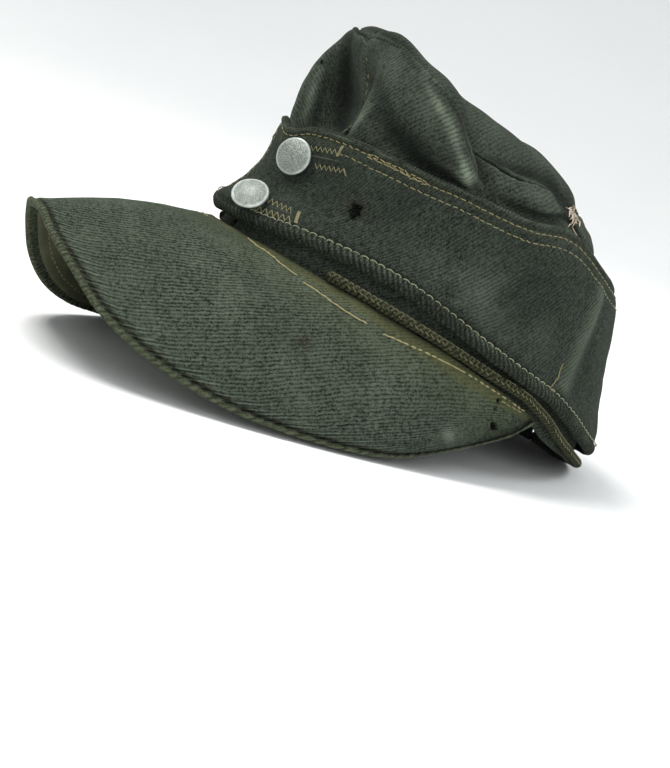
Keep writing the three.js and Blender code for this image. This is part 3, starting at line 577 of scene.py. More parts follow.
def folded(p, n, table):
    """Height of the folds of a table, and the darkness of their painted shade, at grid points whose outer side faces
    the camera.
    """
    q = in_photo(p)
    faces_ = step01(np.sum(unit(EYE - p) * n, -1), -0.06, 0.08)
    high, dark = np.zeros(p.shape[:-1]), np.zeros(p.shape[:-1])
    for fold in sorted(set(r["fold"] for r in table)):
        pts = [r for r in table if r["fold"] == fold]
        dist, side, along = to_line(q, [(r["x"], r["y"]) for r in pts])
        k = np.linspace(0, 1, len(pts))
        at = lambda c: np.interp(along, k, [r[c] for r in pts])
        width = np.where(side > 0, at("wide"), at("wide_over"))
        f = np.exp(-(dist / width) ** 2) * faces_
        high += at("high") * f
        dark = np.maximum(dark, at("dark") * f)
    return high, dark


class Surface:
    """Finds where a line of sight meets one or more cloth pieces, and the way the cloth faces there."""

    def __init__(self, *objs):
        verts, polys, base = [], [], 0
        for o in objs:
            verts += [v.co.copy() for v in o.data.vertices]
            polys += [[i + base for i in p.vertices] for p in o.data.polygons]
            base += len(o.data.vertices)
        self.tree = BVHTree.FromPolygons(verts, polys)

    def seen(self, px, py):
        loc, nor, _, _ = self.tree.ray_cast(*ray(px, py))
        return None if loc is None else (np.array(loc), np.array(nor))

    def near(self, p):
        loc, nor, _, _ = self.tree.find_nearest(Vector(p))
        return np.array(loc), np.array(nor)

    def path(self, pixels, lift, step=0.0004):
        """A line over the cloth through places seen in the photo's frame, lifted a little off it."""
        hits = [self.seen(*q) for q in pixels]
        pts = np.array([h[0] for h in hits if h is not None])
        return self.follow(pts, lift, step)

    def follow(self, pts, lift, step=0.0004):
        d = np.concatenate([[0], np.cumsum(np.linalg.norm(np.diff(pts, axis=0), axis=1))])
        s = np.linspace(0, d[-1], max(3, int(d[-1] / step)))
        fine = np.stack([np.interp(s, d, pts[:, k]) for k in range(3)], -1)
        out = []
        for q in fine:
            p, n = self.near(q)
            if np.dot(n, np.array(eye) - p) < 0 and np.dot(n, q - p) < 0:
                n = -n
            out.append(p + n * lift)
        return np.array(out), s


# ---- materials ---------------------------------------------------------------------------------
def srgb(r, g, b):
    f = lambda c: c / 12.92 if c <= 0.04045 else ((c + 0.055) / 1.055) ** 2.4
    return (f(r / 255), f(g / 255), f(b / 255), 1)


class Nodes:
    def __init__(self, name):
        self.mat = bpy.data.materials.new(name)
        self.mat.use_nodes = True
        self.t = self.mat.node_tree
        self.bsdf = self.t.nodes["Principled BSDF"]

    def new(self, kind, **inputs):
        n = self.t.nodes.new(kind)
        for k, v in inputs.items():
            n.inputs[k.replace("_", " ")].default_value = v
        return n

    def link(self, a, b):
        self.t.links.new(a, b)

    def math(self, op, a, b=None, clamp=False):
        n = self.t.nodes.new("ShaderNodeMath")
        n.operation, n.use_clamp = op, clamp
        for i, v in enumerate((a, b)):
            if v is None:
                continue
            if isinstance(v, (int, float)):
                n.inputs[i].default_value = v
            else:
                self.link(v, n.inputs[i])
        return n.outputs[0]

    def mixc(self, f, a, b, blend="MIX"):
        n = self.t.nodes.new("ShaderNodeMix")
        n.data_type, n.blend_type = "RGBA", blend
        for i, v in ((0, f), (6, a), (7, b)):
            if isinstance(v, (int, float, tuple)):
                n.inputs[i].default_value = v
            else:
                self.link(v, n.inputs[i])
        return n.outputs[2]

    def noise(self, coord, scale, detail=3, rough=0.55):
        n = self.t.nodes.new("ShaderNodeTexNoise")
        n.inputs["Scale"].default_value = scale
        n.inputs["Detail"].default_value = detail
        n.inputs["Roughness"].default_value = rough
        self.link(coord, n.inputs["Vector"])
        return n.outputs["Fac"]

    def ramp(self, v, lo, hi, out_lo=0.0, out_hi=1.0):
        n = self.t.nodes.new("ShaderNodeMapRange")
        n.interpolation_type = "SMOOTHSTEP"
        n.inputs["From Min"].default_value = lo
        n.inputs["From Max"].default_value = hi
        n.inputs["To Min"].default_value = out_lo
        n.inputs["To Max"].default_value = out_hi
        self.link(v, n.inputs["Value"])
        return n.outputs["Result"]


def wool(name, base, dark, light, lean, pitch, depth=0.5, rib_shade=0.55, sheen=0.05, olive=(104, 104, 66)):
    """Grey-green wool twill. lean: way of the ribs in the cloth's own plane, degrees; pitch in millimetres.
    The tone attribute gives wear, stain and olive fading; its alpha gives painted shade."""
    k = Nodes(name)
    uv = k.new("ShaderNodeUVMap")
    uv.uv_map = "cloth"
    obj = k.new("ShaderNodeTexCoord").outputs["Object"]
    sep = k.new("ShaderNodeSeparateXYZ")
    k.link(uv.outputs["UV"], sep.inputs[0])
    u, v = sep.outputs[0], sep.outputs[1]
    c, s = math.cos(lean * DEG), math.sin(lean * DEG)
    warp = k.noise(obj, 70, 2)
    warp2 = k.noise(obj, 500, 2)
    across = k.math("ADD", k.math("MULTIPLY", u, -s), k.math("MULTIPLY", v, c))
    along = k.math("ADD", k.math("MULTIPLY", u, c), k.math("MULTIPLY", v, s))
    across = k.math("ADD", across, k.math("MULTIPLY", warp, 1.7))
    across = k.math("ADD", across, k.math("MULTIPLY", warp2, 0.75 * pitch))
    phase = k.math("MULTIPLY", across, 2 * math.pi / pitch)
    rib = k.math("MULTIPLY_ADD", k.math("SINE", phase), 0.5)
    rib.node.inputs[2].default_value = 0.5
    rib = k.math("POWER", rib, 0.55)
    # the ribs stay visible only in places, where the nap has worn down
    clear = k.ramp(k.noise(obj, 130, 3, 0.6), 0.3, 0.68, 0.6, 1.0)
    rib = k.math("MULTIPLY_ADD", k.math("SUBTRACT", rib, 0.58), clear)
    rib.node.inputs[2].default_value = 0.5
    # yarns across each rib, half a step on from one rib to the next
    yarn_phase = k.math("ADD", k.math("MULTIPLY", along, 2 * math.pi / (pitch * 0.6)), k.math("MULTIPLY", phase, 0.5))
    yarn = k.math("MULTIPLY_ADD", k.math("SINE", yarn_phase), 0.5)
    yarn.node.inputs[2].default_value = 0.5
    fluff = k.noise(obj, 1700, 4, 0.75)
    mottle = k.noise(obj, 700, 3, 0.7)
    cloud = k.noise(obj, 24, 4, 0.6)
    height = k.math("ADD", k.math("MULTIPLY", rib, 0.5),
                    k.math("ADD", k.math("MULTIPLY", yarn, 0.14), k.math("ADD", k.math("MULTIPLY", fluff, 0.5), k.math("MULTIPLY", mottle, 0.45))))
    tone = k.t.nodes.new("ShaderNodeAttribute")
    tone.attribute_name = "tone"
    ts = k.new("ShaderNodeSeparateColor")
    k.link(tone.outputs["Color"], ts.inputs[0])
    wear, stain, faded = ts.outputs[0], ts.outputs[1], ts.outputs[2]
    rib_c = k.math("ADD", k.math("MULTIPLY", rib, rib_shade), k.math("MULTIPLY", k.math("SUBTRACT", mottle, 0.5), 2.4))
    rib_c = k.math("ADD", rib_c, k.math("MULTIPLY", k.math("SUBTRACT", fluff, 0.5), 2.8))
    rib_c = k.math("ADD", rib_c, (1 - rib_shade) * 0.5, clamp=True)
    col = k.mixc(rib_c, srgb(*dark), srgb(*light))
    col = k.mixc(k.ramp(cloud, 0.35, 0.7, 0.0, 0.3), col, srgb(*base))
    # pale and dark stray fibres
    flecks = k.ramp(k.noise(obj, 2300, 2, 0.8), 0.6, 0.74, 0, 0.55)
    col = k.mixc(flecks, col, srgb(104, 112, 98))
    specks = k.ramp(k.noise(obj, 1150, 2, 0.8), 0.42, 0.3, 0, 0.55)
    col = k.mixc(specks, col, srgb(20, 24, 21))
    wear_f = k.math("MULTIPLY", wear, k.ramp(k.math("ADD", rib, k.math("MULTIPLY", mottle, 0.8)), 0.3, 1.2, 0.35, 1.0), clamp=True)
    col = k.mixc(wear_f, col, srgb(122, 133, 116))
    col = k.mixc(k.math("MULTIPLY", faded, k.ramp(mottle, 0.25, 0.7, 0.45, 1.0), clamp=True), col, srgb(*olive))
    col = k.mixc(k.math("MULTIPLY", stain, k.ramp(k.noise(obj, 260, 3), 0.3, 0.65, 0.3, 1.0), clamp=True), col, srgb(42, 34, 24))
    # painted shade: the tone's alpha darkens the colour toward near black in folds, creases, grooves between ribs,
    # under the flap and round and inside holes
    col = k.mixc(tone.outputs["Alpha"], srgb(7, 9, 7), col)
    k.link(col, k.bsdf.inputs["Base Color"])
    b = k.new("ShaderNodeBump", Strength=1.0, Distance=depth / 1000)
    k.link(height, b.inputs["Height"])
    k.link(b.outputs["Normal"], k.bsdf.inputs["Normal"])
    rough = k.ramp(wear, 0, 1, 0.95, 0.8)
    k.link(rough, k.bsdf.inputs["Roughness"])
    k.bsdf.inputs["Sheen Weight"].default_value = sheen
    k.bsdf.inputs["Sheen Roughness"].default_value = 0.45
    k.bsdf.inputs["Sheen Tint"].default_value = srgb(170, 190, 165)
    k.bsdf.inputs["Specular IOR Level"].default_value = 0.1
    return k.mat


def thread(name, main, dark, light):
    k = Nodes(name)
    uv = k.new("ShaderNodeUVMap")
    uv.uv_map = "cloth"
    obj = k.new("ShaderNodeTexCoord").outputs["Object"]
    sep = k.new("ShaderNodeSeparateXYZ")
    k.link(uv.outputs["UV"], sep.inputs[0])
    twist = k.math("SINE", k.math("ADD", k.math("MULTIPLY", sep.outputs[0], 2 * math.pi / 0.8), k.math("MULTIPLY", sep.outputs[1], math.pi)))
    twist = k.math("MULTIPLY_ADD", twist, 0.5)
    twist.node.inputs[2].default_value = 0.5
    soil = k.noise(obj, 180, 3)
    col = k.mixc(k.math("MULTIPLY", twist, 0.8), srgb(*dark), srgb(*light))
    col = k.mixc(k.ramp(soil, 0.35, 0.7, 0.15, 0.75), col, srgb(*main))
    k.link(col, k.bsdf.inputs["Base Color"])
    b = k.new("ShaderNodeBump", Strength=0.8, Distance=0.00012)
    k.link(k.math("ADD", twist, k.noise(obj, 3000, 2)), b.inputs["Height"])
    k.link(b.outputs["Normal"], k.bsdf.inputs["Normal"])
    k.link(k.ramp(soil, 0.3, 0.7, 0.75, 0.95), k.bsdf.inputs["Roughness"])
    k.bsdf.inputs["Specular IOR Level"].default_value = 0.25
    k.bsdf.inputs["Sheen Weight"].default_value = 0.2
    return k.mat


def plain_cloth(name, dark, light, pitch=0.7, depth=0.2):
    k = Nodes(name)
    uv = k.new("ShaderNodeUVMap")
    uv.uv_map = "cloth"
    obj = k.new("ShaderNodeTexCoord").outputs["Object"]
    sep = k.new("ShaderNodeSeparateXYZ")
    k.link(uv.outputs["UV"], sep.inputs[0])
    wu = k.math("SINE", k.math("MULTIPLY", sep.outputs[0], 2 * math.pi / pitch))
    wv = k.math("SINE", k.math("MULTIPLY", sep.outputs[1], 2 * math.pi / pitch))
    weave = k.math("MULTIPLY_ADD", k.math("MULTIPLY", wu, wv), 0.5)
    weave.node.inputs[2].default_value = 0.5
    cloud = k.noise(obj, 60, 5, 0.65)
    fine = k.noise(obj, 1400, 3, 0.7)
    f = k.math("ADD", k.math("MULTIPLY", weave, 0.35), k.math("ADD", k.math("MULTIPLY", cloud, 0.6), k.math("MULTIPLY", fine, 0.3)), clamp=True)
    k.link(k.mixc(k.ramp(f, 0.35, 0.95), srgb(*dark), srgb(*light)), k.bsdf.inputs["Base Color"])
    b = k.new("ShaderNodeBump", Strength=1.0, Distance=depth / 1000)
    k.link(k.math("ADD", weave, fine), b.inputs["Height"])
    k.link(b.outputs["Normal"], k.bsdf.inputs["Normal"])
    k.link(k.ramp(cloud, 0.3, 0.7, 0.85, 0.97), k.bsdf.inputs["Roughness"])
    k.bsdf.inputs["Specular IOR Level"].default_value = 0.15
    return k.mat


def pebbled_metal(name):
    k = Nodes(name)
    obj = k.new("ShaderNodeTexCoord").outputs["Object"]
    tone = k.t.nodes.new("ShaderNodeAttribute")
    tone.attribute_name = "tone"
    ts = k.new("ShaderNodeSeparateColor")
    k.link(tone.outputs["Color"], ts.inputs[0])
    rim = ts.outputs[0]
    vor = k.t.nodes.new("ShaderNodeTexVoronoi")
    vor.feature = "F1"
    vor.inputs["Scale"].default_value = 2100
    vor.inputs["Randomness"].default_value = 0.85
    k.link(obj, vor.inputs["Vector"])
    peb = k.ramp(vor.outputs["Distance"], 0.1, 0.62, 1, 0)
    soil = k.noise(obj, 420, 4, 0.7)
    face = k.mixc(k.math("MULTIPLY", peb, k.ramp(soil, 0.3, 0.75, 1.0, 0.45), clamp=True), srgb(112, 118, 112), srgb(178, 184, 178))
    col = k.mixc(k.math("MULTIPLY", rim, k.ramp(soil, 0.3, 0.7, 1.0, 0.6), clamp=True), face, srgb(184, 189, 184))
    k.link(col, k.bsdf.inputs["Base Color"])
    b = k.new("ShaderNodeBump", Strength=0.7, Distance=0.00012)
    k.link(k.math("MULTIPLY", peb, k.math("SUBTRACT", 1.0, rim)), b.inputs["Height"])
    k.link(b.outputs["Normal"], k.bsdf.inputs["Normal"])
    k.link(k.ramp(soil, 0.25, 0.75, 0.38, 0.62), k.bsdf.inputs["Roughness"])
    k.bsdf.inputs["Metallic"].default_value = 0.75
    return k.mat


M_FLAP = wool("wool_flap", (33, 39, 33), (11, 14, 12), (61, 69, 60), 58, 1.25, 0.45, rib_shade=0.45, olive=(74, 74, 48))
M_CROWN = wool("wool_crown", (42, 48, 42), (15, 18, 16), (70, 78, 68), 42, 1.25, 0.45, rib_shade=0.45, olive=(80, 80, 54))
M_TOP = wool("wool_top", (40, 47, 40), (14, 17, 14), (68, 77, 66), -40, 1.6, 0.45, rib_shade=0.5, olive=(80, 80, 54))
M_PEAK = wool("wool_peak", (49, 57, 47), (10, 12, 10), (86, 97, 82), 77, 1.25, 0.7, rib_shade=0.75, olive=(88, 88, 54))
M_ROLL = wool("wool_roll", (38, 44, 37), (13, 15, 12), (64, 71, 61), 80, 1.35, 0.4, rib_shade=0.6, olive=(80, 80, 54))
M_EDGE = wool("wool_edge_seam", (50, 54, 37), (18, 20, 13), (76, 80, 56), 70, 1.3, 0.4, rib_shade=0.6, olive=(76, 74, 50))
M_UNDER = plain_cloth("peak_underside_cloth", (56, 59, 42), (102, 105, 80), 0.7, 0.16)
M_LINING = plain_cloth("faded_lining", (176, 150, 130), (244, 232, 210), 0.6, 0.2)
M_OCHRE = thread("ochre_thread", (138, 130, 86), (92, 84, 50), (174, 166, 122))
M_PALE = thread("pale_thread", (142, 143, 112), (92, 94, 70), (182, 182, 150))
M_PEAK_THREAD = thread("peak_thread", (158, 148, 100), (108, 98, 60), (196, 188, 142))
M_BUTTONHOLE = thread("buttonhole_thread", (120, 116, 80), (74, 70, 44), (156, 150, 112))
M_FIBRE = thread("wool_fibre", (62, 70, 60), (38, 44, 38), (96, 104, 92))
# painted shade: this dark thread material stands in for the shade inside the buttonhole slits
M_SLIT_SHADE = thread("painted_slit_shade", (40, 44, 34), (24, 26, 20), (66, 70, 54))
M_METAL = pebbled_metal("pebbled_button_metal")

made = {}
frayed = []


def done(o, nodes=()):
    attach(o, "root")
    if nodes:
        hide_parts(*nodes)
    made[o.name] = o
    return o


# ---- crown walls -------------------------------------------------------------------------------
# folds of the crown where the photo shows them: places in its frame, height in millimetres
# (below zero for a hollow), width to the right-hand and the left-hand side of the line in pixels, and the darkness of
# painted shade in and beside the fold
FOLDS = rows("fold x y high wide wide_over dark",
    (1, 324, 70, 0.7, 4, 5, 0), (1, 315, 87, 1.0, 4, 6, 0), (1, 307, 122, 1.1, 5, 7, 0),
    (2, 350, 36, -0.6, 9, 8, 0.45), (2, 347, 60, -1.5, 10, 10, 0.78), (2, 345, 102, -1.9, 11, 12, 0.85), (2, 341, 128, -1.6, 10, 12, 0.8),
    (3, 376, 37, 0.5, 3.5, 3.5, 0), (3, 367.5, 52, 0.7, 3.5, 4, 0), (3, 365.5, 72, 0.8, 4, 4, 0), (3, 366, 95, 0.9, 4, 5, 0), (3, 369, 108, 0.8, 4, 5, 0),
    (4, 370, 109, 0.6, 4, 4, 0), (4, 364, 117, 1.1, 4, 5, 0), (4, 352, 137, 1.2, 5, 6, 0),
    (5, 378, 112, -0.6, 9, 9, 0.55), (5, 394, 132, -1.6, 15, 14, 0.82), (5, 418, 156, -1.7, 15, 15, 0.85), (5, 448, 180, -1.1, 11, 12, 0.75),
    (6, 404, 56, 0.2, 12, 8, 0), (6, 428, 88, 0.7, 12, 5, 0), (6, 446, 120, 1.1, 12, 4, 0), (6, 458, 150, 1.3, 12, 3.5, 0), (6, 470, 190, 1.3, 10, 3.5, 0),
    (7, 375, 78, -0.5, 6, 6, 0.35), (7, 383, 100, -0.6, 9, 9, 0.5), (7, 392, 120, -0.6, 9, 9, 0.5),
    (8, 331, 55, -0.35, 4, 6, 0.3), (8, 320, 100, -0.5, 4, 5, 0.45), (8, 314, 122, -0.5, 4, 5, 0.5),
    (9, 446, 92, -0.5, 4, 8, 0.3), (9, 458, 118, -0.9, 4, 9, 0.5), (9, 470, 148, -1.0, 4, 9, 0.55), (9, 480, 180, -0.9, 4, 8, 0.5),
    (10, 462, 151, -0.2, 2, 3, 0.5), (10, 500, 167, -0.5, 2, 6, 0.85), (10, 530, 178, -0.8, 2, 9, 0.93), (10, 548, 187, -1.0, 3, 10, 0.96), (10, 560, 202, -1.0, 4, 9, 0.96), (10, 570, 222, -0.7, 4, 4, 0.9), (10, 582, 243, -0.3, 3, 2, 0.6),
    (11, 372, 33, -0.3, 2.5, 2.5, 0.5), (11, 386, 38, -0.4, 3, 2.5, 0.6), (11, 403, 50, -0.4, 3, 3, 0.6), (11, 420, 68, -0.3, 3, 3, 0.45),
    (12, 486, 196, -0.5, 10, 10, 0.3), (12, 520, 208, -0.9, 9, 12, 0.45), (12, 550, 222, -0.8, 7, 10, 0.5),
)
# worn places: centre in the photo's frame, reach along and across, turn, strength
WORN = rows("x y long wide turn wear",
    (442, 112, 32, 4.2, 62, 0.62), (458, 150, 30, 4, 70, 0.7), (468, 178, 16, 3.6, 73, 0.6), (430, 112, 30, 12, 60, 0.25), (400, 72, 24, 14, 45, 0.2),
    (312, 96, 24, 2.2, 108, 0.5), (361, 121, 15, 2.2, 125, 0.6), (366, 75, 30, 2, 92, 0.3), (535, 196, 14, 5, 20, 0.2),
)


def crown_wall(sign):
    nu, nv = 230, 84
    ang = np.linspace(1.0, 179.0, nu)[:, None] + np.zeros((1, nv))
    torn = TEAR["drop"] * bump(ang, TEAR["angle"], TEAR["reach"]) if sign > 0 else 0 * ang
    v = np.linspace(0, 1, nv)[None] * (0.992 - torn)
    p = crown_at(sign, ang, v)
    up = arc(p, 1)
    total = up[:, -1:]
    from_top = total - up
    n = grid_normals(p)
    n_out = n if np.sum(n * (p - np.array([0, 0, 30.0]))) > 0 else -n
    clear_of_flap = step01(p[..., 2], flap_high(sign * ang) - 9, flap_high(sign * ang) + 1)
    high, dark = folded(p, n_out, FOLDS)
    high = smoothed(high * clear_of_flap * step01(from_top, 0.2, 3.5), 1, 1)
    p = p + n_out * high[..., None]
    seen_at = in_photo(p)
    # cloth drawn in along the top seam and the front and back seams, puckered beside them
    round_ = arc(p, 0)
    mid = round_[:, nv // 2:nv // 2 + 1] + np.zeros((1, nv))
    ends = np.minimum(mid, mid[-1:] - mid)
    shown = step01(p[..., 2], flap_high(sign * ang) - 6, flap_high(sign * ang) + 2)
    lift = -0.5 * np.exp(-(from_top / 1.3) ** 2)
    lift += 0.22 * np.sin(mid * 2 * math.pi / 6.5 + 2 * ripples(p, 30, 4)) * np.exp(-from_top / 5)
    lift += shown * (-0.7 * np.exp(-(ends / 1.2) ** 2) + 0.2 * np.sin(up * 2 * math.pi / 6) * np.exp(-ends / 3.5))
    lift += shown * (0.35 * ripples(p, 26, 11 + sign) + 0.12 * ripples(p, 9, 5 + sign))
    # wear where the cloth stands out
    curve = -(np.gradient(np.gradient(p, axis=0), axis=0) / 0.6 + np.gradient(np.gradient(p, axis=1), axis=1) / 0.8)
    stick = np.sum(curve * n, -1) * (1 if np.sum(n * p) > 0 else -1)
    wear = np.clip(stick * 1.1, 0, 1) * shown * 0.35 + 0.2 * np.exp(-(from_top / 1.6) ** 2)
    to_eye = step01(np.sum(unit(EYE - p) * n_out, -1), 0, 0.2)
    for r in WORN:
        c, s = math.cos(r["turn"] * DEG), math.sin(r["turn"] * DEG)
        dx, dy = seen_at[..., 0] - r["x"], seen_at[..., 1] - r["y"]
        wear = wear + r["wear"] * to_eye * np.exp(-((dx * c + dy * s) / r["long"]) ** 2 - ((dy * c - dx * s) / r["wide"]) ** 2)
    wear *= 0.6 + 0.4 * np.clip(ripples(p, 14, 8) + 0.6, 0, 1)
    # painted shade where the cloth goes down behind the flap, and the folds' painted shade
    low = np.exp(-np.maximum(0, p[..., 2] - flap_high(sign * ang)) / 2.5) * 0.45 * step01(p[..., 2], 10, 25)
    light = 1 - np.clip(np.maximum(smoothed(dark, 1, 1), low), 0, 0.97)
    gone = None
    for k_, r in enumerate(HOLES):
        if r["x"] < 0 and sign < 0:
            p, gone, c0, axes_, far_ = cut_hole(p, (r["x"], r["y"], r["z"]), r["radius"] * 1.15, 3)
            frayed.append((c0, axes_, r["radius"] * 1.15, n_out, 0))
            # painted shade round the hole's edge, so that the hole reads dark
            light = light * (1 - 0.6 * np.exp(-(far_ / 1.3) ** 6))
    tone = np.stack([wear, 0.08 + 0 * wear, 0 * wear, light], -1)
    uv = np.stack([mid, up], -1)
    half = np.full((nu, nv), CLOTH / 2)
    half[:, -1] *= 0.4
    keep = lambda q: np.concatenate([(sign * np.maximum(GAP / 2, sign * q[..., :1])), q[..., 1:]], -1)
    side = "left" if sign > 0 else "right"
    o, outer, _ = cloth("crown_wall_" + side, p, half, M_CROWN, uv, tone, keep, lift, gone)
    return done(o, ["crown_%s_panel" % side])


wall_left = crown_wall(1)
wall_right = crown_wall(-1)


def crown_top():
    nu, nv = 320, 52
    ang = np.linspace(-180, 180, nu)[:, None] + np.zeros((1, nv))
    torn = TEAR["back"] * bump(ang, TEAR["angle"], TEAR["reach"])
    w = mix(0.011 + torn, 1, (np.linspace(0, 1, nv)[None] ** 1.15))
    p = top_point(ang, w)
    inward = arc(p, 1)
    round_ = arc(p, 0)[:, 6:7] + np.zeros((1, nv))
    n = grid_normals(p)
    if np.sum(n[..., 2]) < 0:
        n = -n
    lift = -0.4 * np.exp(-(inward / 1.2) ** 2) + 0.2 * np.sin(round_ * 2 * math.pi / 7 + 2 * ripples(p, 30, 3)) * np.exp(-inward / 6)
    lift += 0.3 * ripples(p, 24, 31) * step01(inward, 0, 6)
    high, dark = folded(p, n, FOLDS)
    lift += np.clip(high, -0.9, 0) * step01(inward, 0.5, 2)
    lift += 1.3 * bump(np.abs(ang), 15, 28) * step01(inward, 0.5, 6) * (1 - step01(inward, 22, 40))
    lift *= 1 - step01(w, 0.93, 1)
    half = np.full((nu, nv), TOP_CLOTH / 2)
    half[:, 0] *= 0.4
    outer, inner = p + n * (half + lift)[..., None], p - n * half[..., None]
    outer[:, -1, 0] = inner[:, -1, 0] = 0
    count = nu * nv
    verts = np.concatenate([outer.reshape(-1, 3), inner.reshape(-1, 3)])
    f = np.concatenate([quads(nu, nv), quads(nu, nv, start=count, flip=True)])
    i = np.arange(nu - 1)
    f = np.concatenate([f, np.stack([i * nv, i * nv + count, (i + 1) * nv + count, (i + 1) * nv], -1)])
    a = verts[f[:, 0]]
    vol = np.sum(a * np.cross(verts[f[:, 1]], verts[f[:, 2]])) + np.sum(a * np.cross(verts[f[:, 2]], verts[f[:, 3]]))
    if vol < 0:
        f = f[:, ::-1]
    # plan coordinates keep the weave straight over the middle line
    side_way = np.sign(ang) * inward
    uv = np.stack([p[..., 1] * 1.02, p[..., 0] * 1.02 + 0 * side_way], -1)
    wear = 0.4 * np.exp(-(inward / 2.0) ** 2) + 0.1 * np.clip(ripples(p, 30, 9), 0, 1)
    # painted shade: darker in the crease along the seam and where the fold table gives shade; also darker in loose
    # random patches
    light = 1 - 0.5 * np.exp(-(inward / 1.6) ** 2) - 0.3 * np.clip(ripples(p, 34, 33), 0, 1)
    light = light * (1 - np.clip(dark, 0, 0.97))
    tone = np.stack([wear * 0.5, 0.05 + 0 * wear, 0 * wear, np.clip(light, 0.2, 1)], -1)
    o = make("crown_top_cloth", stand(verts), f, M_TOP, np.concatenate([uv.reshape(-1, 2)] * 2), np.concatenate([tone.reshape(-1, 4)] * 2))
    import bmesh
    bm = bmesh.new()
    bm.from_mesh(o.data)
    bmesh.ops.remove_doubles(bm, verts=bm.verts, dist=2e-6)
    bm.to_mesh(o.data)
    bm.free()
    return done(o, ["crown_top_panel"])


top = crown_top()


def lining_patch():
    centre = np.array([0, -5, 55.0])
    nu, nv = 70, 40
    u = np.linspace(-1.4, 1.2, nu)[:, None] + np.zeros((1, nv))
    w = np.linspace(0, 1, nv)[None] + np.zeros((nu, 1))
    ang = TEAR["angle"] + TEAR["reach"] * u
    p = np.where((w < 0.5)[..., None], crown_at(1, ang, mix(0.8, 1, np.minimum(1, 2 * w))),
                 top_point(ang, mix(0, 0.24, np.maximum(0, 2 * w - 1))))
    d = p - centre
    r = np.linalg.norm(d, axis=-1, keepdims=True)
    p = centre + d * (1 - LINING_DEPTH / r)
    uv = np.stack([arc(p, 0), arc(p, 1)], -1)
    tone = np.zeros(p.shape)
    o, _, _ = cloth("lining_showing", p, np.full((nu, nv), LINING / 2), M_LINING, uv, tone, None, 0.25 * ripples(p, 6, 2))
    return done(o, ["crown_lining_patch"])


lining_patch()


# ---- flap --------------------------------------------------------------------------------------
ROLL_TOP = 4.9          # height of the roll's upper edge over the flap's lower edge
ROLL_RADIUS = 2.65
ROW_1, ROW_2 = 3.4, 7.3  # stitch rows below the flap's upper edge
ROW_2_START = 19.0


